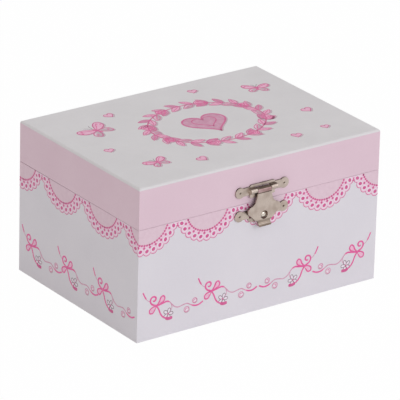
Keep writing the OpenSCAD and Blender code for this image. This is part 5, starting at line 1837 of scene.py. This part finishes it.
@dataclass
class Dancer:
    """Plain little doll in a tutu, modelled upright over the fold and then laid forward.

    Attributes:
        pivot: Place of the fold.
        fold: Angle of the fold at rest, in degrees.
        foot: Height of the base's top over the fold.
        peg: Bottom of the base over the fold.
        peg_r: Radius of the base.
        hip: Height of the hips.
        head: Height of the middle of the head.
        layers: Outer radius, height at the rim, height at the waist and ruffle depth of each layer of the tutu.
        inner_r: Inner radius of the tutu.
    """

    SKIN, HAIR, CLOTH, EYES, LIPS = range(5)
    SEED = 40

    pivot: Place = (0.0, 30.0, 60.0)
    fold: float = 82.0
    foot: float = 6.5
    peg: float = 4.0
    peg_r: float = 2.6
    hip: float = 23.92
    head: float = 40.02
    layers: tuple[Knot, ...] = (
        (11.7, 25.1, 24.9, 0.42),
        (11.65, 24.2, 24.5, 0.46),
        (11.6, 23.2, 24.1, 0.5),
    )
    inner_r: float = 1.95

    def laid(self, bm: bmesh.types.BMesh) -> bmesh.types.BMesh:
        """Lays an upright shape forward about the fold."""
        place = Matrix.Translation(self.pivot) @ Matrix.Rotation(math.radians(self.fold), 4, "X")
        bmesh.ops.transform(bm, matrix=place, verts=bm.verts)
        return bm

    @staticmethod
    def ball(at: Place, size: Place, index: int, steps: int = 16) -> bmesh.types.BMesh:
        """An ellipsoid of one material."""
        bm = bmesh.new()
        place = Matrix.Translation(at) @ Matrix.Diagonal((*size, 1))
        bmesh.ops.create_uvsphere(bm, u_segments=steps, v_segments=steps // 2 + 2, radius=1, matrix=place)
        return painted(bm, index)

    @staticmethod
    def split(bm: bmesh.types.BMesh, height: float, above: int, below: int) -> bmesh.types.BMesh:
        """Gives the faces over and under a height two materials."""
        for face in bm.faces:
            face.material_index = above if face.calc_center_median().z > height else below
        return bm

    def legs(self) -> list[bmesh.types.BMesh]:
        """Two legs on the points of the toes, in satin shoes with ribbons."""
        parts = []
        for side in (-1, 1):
            knots = [
                (0.62, -0.12, self.foot - 0.2, 0.42),
                (0.66, -0.1, self.foot + 0.7, 0.56),
                (0.74, -0.02, self.foot + 1.6, 0.6),
                (0.78, 0.0, self.foot + 2.6, 0.5),
                (0.84, 0.12, self.foot + 5.0, 0.82),
                (0.88, 0.15, self.foot + 6.8, 0.92),
                (0.92, 0.0, self.foot + 9.6, 0.74),
                (1.05, -0.05, self.foot + 13.0, 1.08),
                (1.2, 0.0, self.hip, 1.4),
            ]
            leg = swept([(side * x, y, z, r) for x, y, z, r in knots], 4, 16)
            parts.append(self.split(leg, self.foot + 2.3, self.SKIN, self.CLOTH))
            for step in (0.0, 0.55, 1.1):
                height = self.foot + 2.75 + step
                ring = [
                    (side * 0.8 + 0.6 * math.cos(a), 0.05 + 0.6 * math.sin(a), height + 0.28 * math.cos(a), 0.09)
                    for a in (math.tau * k / 20 for k in range(21))
                ]
                parts.append(painted(swept(ring, 1, 6), self.CLOTH))
        return parts

    def trunk(self) -> list[bmesh.types.BMesh]:
        """Torso in its bodice, neck and shoulders."""
        knots = [
            (0, 0, 22.7, 1.2), (0, 0, 23.3, 2.15), (0, 0, 24.4, 2.4), (0, 0, 27.4, 1.62), (0, 0, 30.2, 2.05),
            (0, 0, 32.1, 2.2), (0, 0, 33.6, 1.9), (0, 0, 34.5, 1.0), (0, 0, 35.6, 0.74), (0, 0, 38.4, 0.74),
        ]
        torso = swept(knots, 4, 24)
        bmesh.ops.scale(torso, vec=(1, 0.78, 1), verts=torso.verts)
        parts = [self.split(torso, 31.9, self.SKIN, self.CLOTH)]
        ribbon = 0.13
        strap = [(1.5, -1.2, 31.9), (1.65, -0.7, 33.7), (1.6, 0.1, 34.4), (1.5, 1.2, 33.2), (1.2, 1.65, 31.6)]
        arm = [
            (1.5, 0.0, 33.5, 0.6), (2.15, 0.0, 34.0, 0.78), (3.3, -0.1, 35.5, 0.66), (4.4, -0.25, 37.1, 0.58),
            (5.25, -0.4, 38.7, 0.55), (4.9, -0.5, 40.9, 0.52), (3.7, -0.5, 43.2, 0.42), (2.7, -0.45, 44.3, 0.32),
            (2.1, -0.4, 44.8, 0.4), (1.3, -0.35, 45.3, 0.34), (0.6, -0.3, 45.5, 0.16),
        ]
        for side in (-1, 1):
            parts.append(self.ball((side * 0.85, -1.15, 31.1), (0.82, 0.72, 0.85), self.CLOTH))
            band = swept([(side * x, y, z, ribbon) for x, y, z in strap], 5, 8)
            parts.append(painted(band, self.CLOTH))
            limb = swept([(side * x, y, z, r) for x, y, z, r in arm], 4, 12)
            parts.append(painted(limb, self.SKIN))
        gathers = 12
        for k in range(gathers):
            turn = math.tau * k / gathers
            at = (2.36 * math.cos(turn), 1.85 * math.sin(turn), 24.9)
            parts.append(self.ball(at, (0.34, 0.34, 0.3), self.CLOTH, 8))
        return parts

    def face(self) -> list[bmesh.types.BMesh]:
        """Head with a plain painted doll's face, and hair in a bun."""
        top = self.head
        profile = [
            (0, top - 2.35), (0.62, top - 2.3), (1.22, top - 1.85), (1.66, top - 1.15), (1.95, top - 0.3),
            (2.12, top + 0.5), (2.02, top + 1.25), (1.55, top + 1.9), (0.85, top + 2.28), (0, top + 2.4),
        ]
        smooth = [(max(p.x, 0), p.y) for p in smooth_line(profile, 3)]
        parts = [painted(turned(smooth, Matrix.Translation((0, -0.1, 0)), 32), self.SKIN)]
        wider, taller = 1.09, 1.07
        cap = [(r * wider, top + (z - top) * taller) for r, z in smooth]
        hair = turned(cap, Matrix.Translation((0, 0.06, 0)), 40)
        bmesh.ops.bisect_plane(
            hair,
            geom=[*hair.verts, *hair.edges, *hair.faces],
            plane_co=(0, -0.55, top + 0.75),
            plane_no=(0, -0.9, -0.62),
            clear_outer=True,
        )
        bmesh.ops.holes_fill(hair, edges=[e for e in hair.edges if e.is_boundary], sides=0)
        parts.append(painted(closed(hair), self.HAIR))
        parts.append(self.ball((0, 1.0, top + 2.45), (1.1, 1.1, 0.95), self.HAIR, 20))
        band = [
            (1.0 * math.cos(a), 0.86 + 0.95 * math.sin(a), top + 2.05 - 0.25 * math.sin(a), 0.16)
            for a in (math.tau * k / 24 for k in range(25))
        ]
        parts.append(painted(swept(band, 1, 8), self.CLOTH))
        lash = ((0.45, -2.02, 0.36, 0.05), (0.8, -1.98, 0.5, 0.06), (1.16, -1.78, 0.36, 0.04))
        brow = ((0.42, -2.1, 0.85, 0.05), (0.85, -2.04, 1.0, 0.06), (1.25, -1.8, 0.85, 0.03))
        for side in (-1, 1):
            parts.append(self.ball((side * 0.78, -1.93, top + 0.12), (0.26, 0.12, 0.3), self.EYES, 12))
            for hairs, index in ((lash, self.EYES), (brow, self.HAIR)):
                knots = [(side * x, y, top + z, r) for x, y, z, r in hairs]
                parts.append(painted(swept(knots, 4, 6), index))
        parts.append(self.ball((0, -2.06, top - 0.45), (0.17, 0.2, 0.24), self.SKIN, 12))
        parts.append(self.ball((0, -1.72, top - 1.14), (0.36, 0.12, 0.13), self.LIPS, 12))
        return parts

    def figure(self) -> bpy.types.Object:
        """Builds the doll, which stands for the CAD node."""
        low, r = self.peg, self.peg_r
        base = [
            (0, low), (r - 0.3, low), (r, low + 0.3), (r, self.foot - 0.5), (r - 0.5, self.foot), (0, self.foot),
        ]
        parts = [painted(turned(base, Matrix(), 36), self.CLOTH), *self.legs(), *self.trunk(), *self.face()]
        finishes = [Finish.SKIN, Finish.HAIR, Finish.BODICE, Finish.EYE, Finish.LIP]
        piece = add_piece("dancer_doll", self.laid(joined(*parts)), finishes, "dancer", True)
        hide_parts("dancer_figure")
        return piece

    def layer(self, number: int, doll: bpy.types.Object) -> None:
        """Args:
            number: Number of the layer, from the top.
            doll: Doll of the tutu; not used.
        """
        outer, rim, waist, depth = self.layers[number]
        dice = random.Random(self.SEED + number)
        waves, rows = 26, 9
        steps = 10 * waves
        share = [dice.uniform(0.65, 1.25) for _ in range(waves)]
        bm = bmesh.new()
        rings = []
        for row in range(rows):
            t = row / (rows - 1)
            ring = []
            for n in range(steps):
                turn = math.tau * (n / steps + number / (3 * waves))
                wave = share[(n * waves // steps) % waves] * math.sin(math.tau * waves * n / steps)
                r = self.inner_r + (outer - self.inner_r) * t + 0.2 * t * t * wave
                z = waist + (rim - waist) * t**1.3 + depth * t**1.2 * wave
                ring.append(bm.verts.new((r * math.cos(turn), r * math.sin(turn), z)))
            rings.append(ring)
        for one, two in zip(rings, rings[1:], strict=False):
            for n in range(steps):
                m = (n + 1) % steps
                bm.faces.new((one[n], one[m], two[m], two[n]))
        bmesh.ops.recalc_face_normals(bm, faces=bm.faces)
        area = sum(face.calc_area() for face in bm.faces)
        piece = add_piece(f"tutu_layer_{number + 1}", self.laid(bm), [Finish.TULLE], "dancer", True)
        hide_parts("dancer_tutu")

    def build(self) -> None:
        """Builds the doll and her tutu."""
        doll = self.figure()
        for number in range(len(self.layers)):
            self.layer(number, doll)


# ---------------------------------------------------------------- room


@dataclass
class Room:
    """Floor, backdrop, lamps and the camera.

    Attributes:
        camera_at: Place of the camera in millimetres.
        azimuth: Its bearing, in degrees.
        elevation: Its height above the horizon, in degrees.
        roll: Its tilt, in degrees.
        lens: Focal length on a sensor 36 mm wide.
        world_light: Strength of the even light from all round.
    """

    camera_at: Place = (-1154.64, -1585.46, 870.50)
    azimuth: float = -36.0898
    elevation: float = 22.8914
    roll: float = 1.5417
    lens: float = 366.2
    world_light: float = 0.5

    def camera(self) -> None:
        """Places the camera."""
        a, e = math.radians(self.azimuth), math.radians(self.elevation)
        back = Vector((math.sin(a) * math.cos(e), -math.cos(a) * math.cos(e), math.sin(e)))
        right = (-back).cross(Vector((0, 0, 1))).normalized()
        up = right.cross(-back)
        turn = math.radians(self.roll)
        right, up = (
            math.cos(turn) * right + math.sin(turn) * up,
            math.cos(turn) * up - math.sin(turn) * right,
        )
        data = bpy.data.cameras.new("camera")
        data.lens = self.lens
        data.sensor_width = 36
        data.clip_start, data.clip_end = 0.1, 50
        camera = bpy.data.objects.new("camera", data)
        bpy.context.scene.collection.objects.link(camera)
        camera.matrix_world = Matrix.Translation(Vector(self.camera_at) * MM) @ Matrix(
            [(*row, 0) for row in zip(right, up, back, strict=True)] + [(0, 0, 0, 1)]
        )
        bpy.context.scene.camera = camera

    @staticmethod
    def seen(tree: bpy.types.NodeTree) -> bpy.types.NodeSocket:
        """A factor of 1 where a ray comes from the camera, a reflection or a glass."""
        path = tree.nodes.new("ShaderNodeLightPath")
        first = tree.nodes.new("ShaderNodeMath")
        second = tree.nodes.new("ShaderNodeMath")
        first.operation = second.operation = "MAXIMUM"
        tree.links.new(path.outputs["Is Camera Ray"], first.inputs[0])
        tree.links.new(path.outputs["Is Transmission Ray"], first.inputs[1])
        tree.links.new(first.outputs["Value"], second.inputs[0])
        tree.links.new(path.outputs["Is Glossy Ray"], second.inputs[1])
        return second.outputs["Value"]

    def world(self) -> None:
        """Sets the even light, and white where the world itself is seen."""
        world = bpy.data.worlds.new("studio")
        bpy.context.scene.world = world
        world.use_nodes = True
        tree = world.node_tree
        light = tree.nodes["Background"]
        light.inputs["Color"].default_value = (0.985, 0.98, 0.985, 1)
        light.inputs["Strength"].default_value = self.world_light
        white = tree.nodes.new("ShaderNodeBackground")
        white.inputs["Color"].default_value = (1, 1, 1, 1)
        mix = tree.nodes.new("ShaderNodeMixShader")
        tree.links.new(self.seen(tree), mix.inputs["Fac"])
        tree.links.new(light.outputs["Background"], mix.inputs[1])
        tree.links.new(white.outputs["Background"], mix.inputs[2])
        tree.links.new(mix.outputs["Shader"], tree.nodes["World Output"].inputs["Surface"])

    def floor(self) -> None:
        """Lays a pale floor that keeps a soft shadow."""
        bm = bmesh.new()
        bmesh.ops.create_circle(bm, cap_ends=True, segments=96, radius=6000)
        bmesh.ops.translate(bm, vec=(0, 0, -0.05), verts=bm.verts)
        bmesh.ops.scale(bm, vec=(MM, MM, MM), verts=bm.verts)
        mesh = bpy.data.meshes.new("floor")
        bm.to_mesh(mesh)
        bm.free()
        floor = bpy.data.objects.new("floor", mesh)
        bpy.context.scene.collection.objects.link(floor)
        sh = Shader("studio_floor")
        sh.set(Roughness=0.9, Specular_IOR_Level=0.1)
        sh.colour(sh.blend(sh.noise(3, 2), (0.92, 0.92, 0.92), (0.9, 0.9, 0.9)))
        glow = sh.tree.nodes.new("ShaderNodeEmission")
        glow.inputs["Color"].default_value = (1, 1, 1, 1)
        share = sh.math("MULTIPLY", self.seen(sh.tree), 0.985)
        mix = sh.tree.nodes.new("ShaderNodeMixShader")
        sh.link(share, mix.inputs["Fac"])
        sh.link(sh.bsdf.outputs["BSDF"], mix.inputs[1])
        sh.link(glow.outputs["Emission"], mix.inputs[2])
        sh.link(mix.outputs["Shader"], sh.tree.nodes["Material Output"].inputs["Surface"])
        mesh.materials.append(sh.material)

    @staticmethod
    def lamp(name: str, at: Place, size: float, power: float, tint: Colour) -> None:
        """Hangs a square soft light that faces the box.

        Args:
            name: Name of the lamp.
            at: Place in metres.
            size: Side in metres.
            power: Power in watts.
            tint: Colour of its light.
        """
        data = bpy.data.lights.new(name, "AREA")
        data.energy, data.size, data.color = power, size, tint
        lamp = bpy.data.objects.new(name, data)
        bpy.context.scene.collection.objects.link(lamp)
        lamp.location = at
        lamp.rotation_euler = (Vector((0, 0, 0.05)) - lamp.location).to_track_quat("-Z", "Y").to_euler()

    def build(self) -> None:
        """Builds the room."""
        self.camera()
        self.world()
        self.floor()
        self.lamp("front_softbox", (0.35, -1.9, 0.9), 1.3, 15.9, (0.97, 0.98, 1.0))
        self.lamp("top_softbox", (0.3, 0.2, 1.9), 1.2, 3.2, (1.0, 0.98, 0.97))
        self.lamp("left_softbox", (-1.9, -0.2, 0.9), 1.2, 4.1, (1.0, 0.91, 0.77))
        bpy.context.scene.view_settings.view_transform = "Standard"
        LOG.info("room: camera, three lamps and floor")


# ---------------------------------------------------------------- box


def main() -> None:
    """Builds the box and its room."""
    logging.basicConfig(level=logging.INFO, format="%(name)s: %(message)s")
    box = (Papers(), LidPicture(), Clasp(), Backwork(), Movement(), Inside(), RingRolls(), Dancer())
    for part in (*box, Room()):
        part.build()


if __name__ == "__main__":
    main()
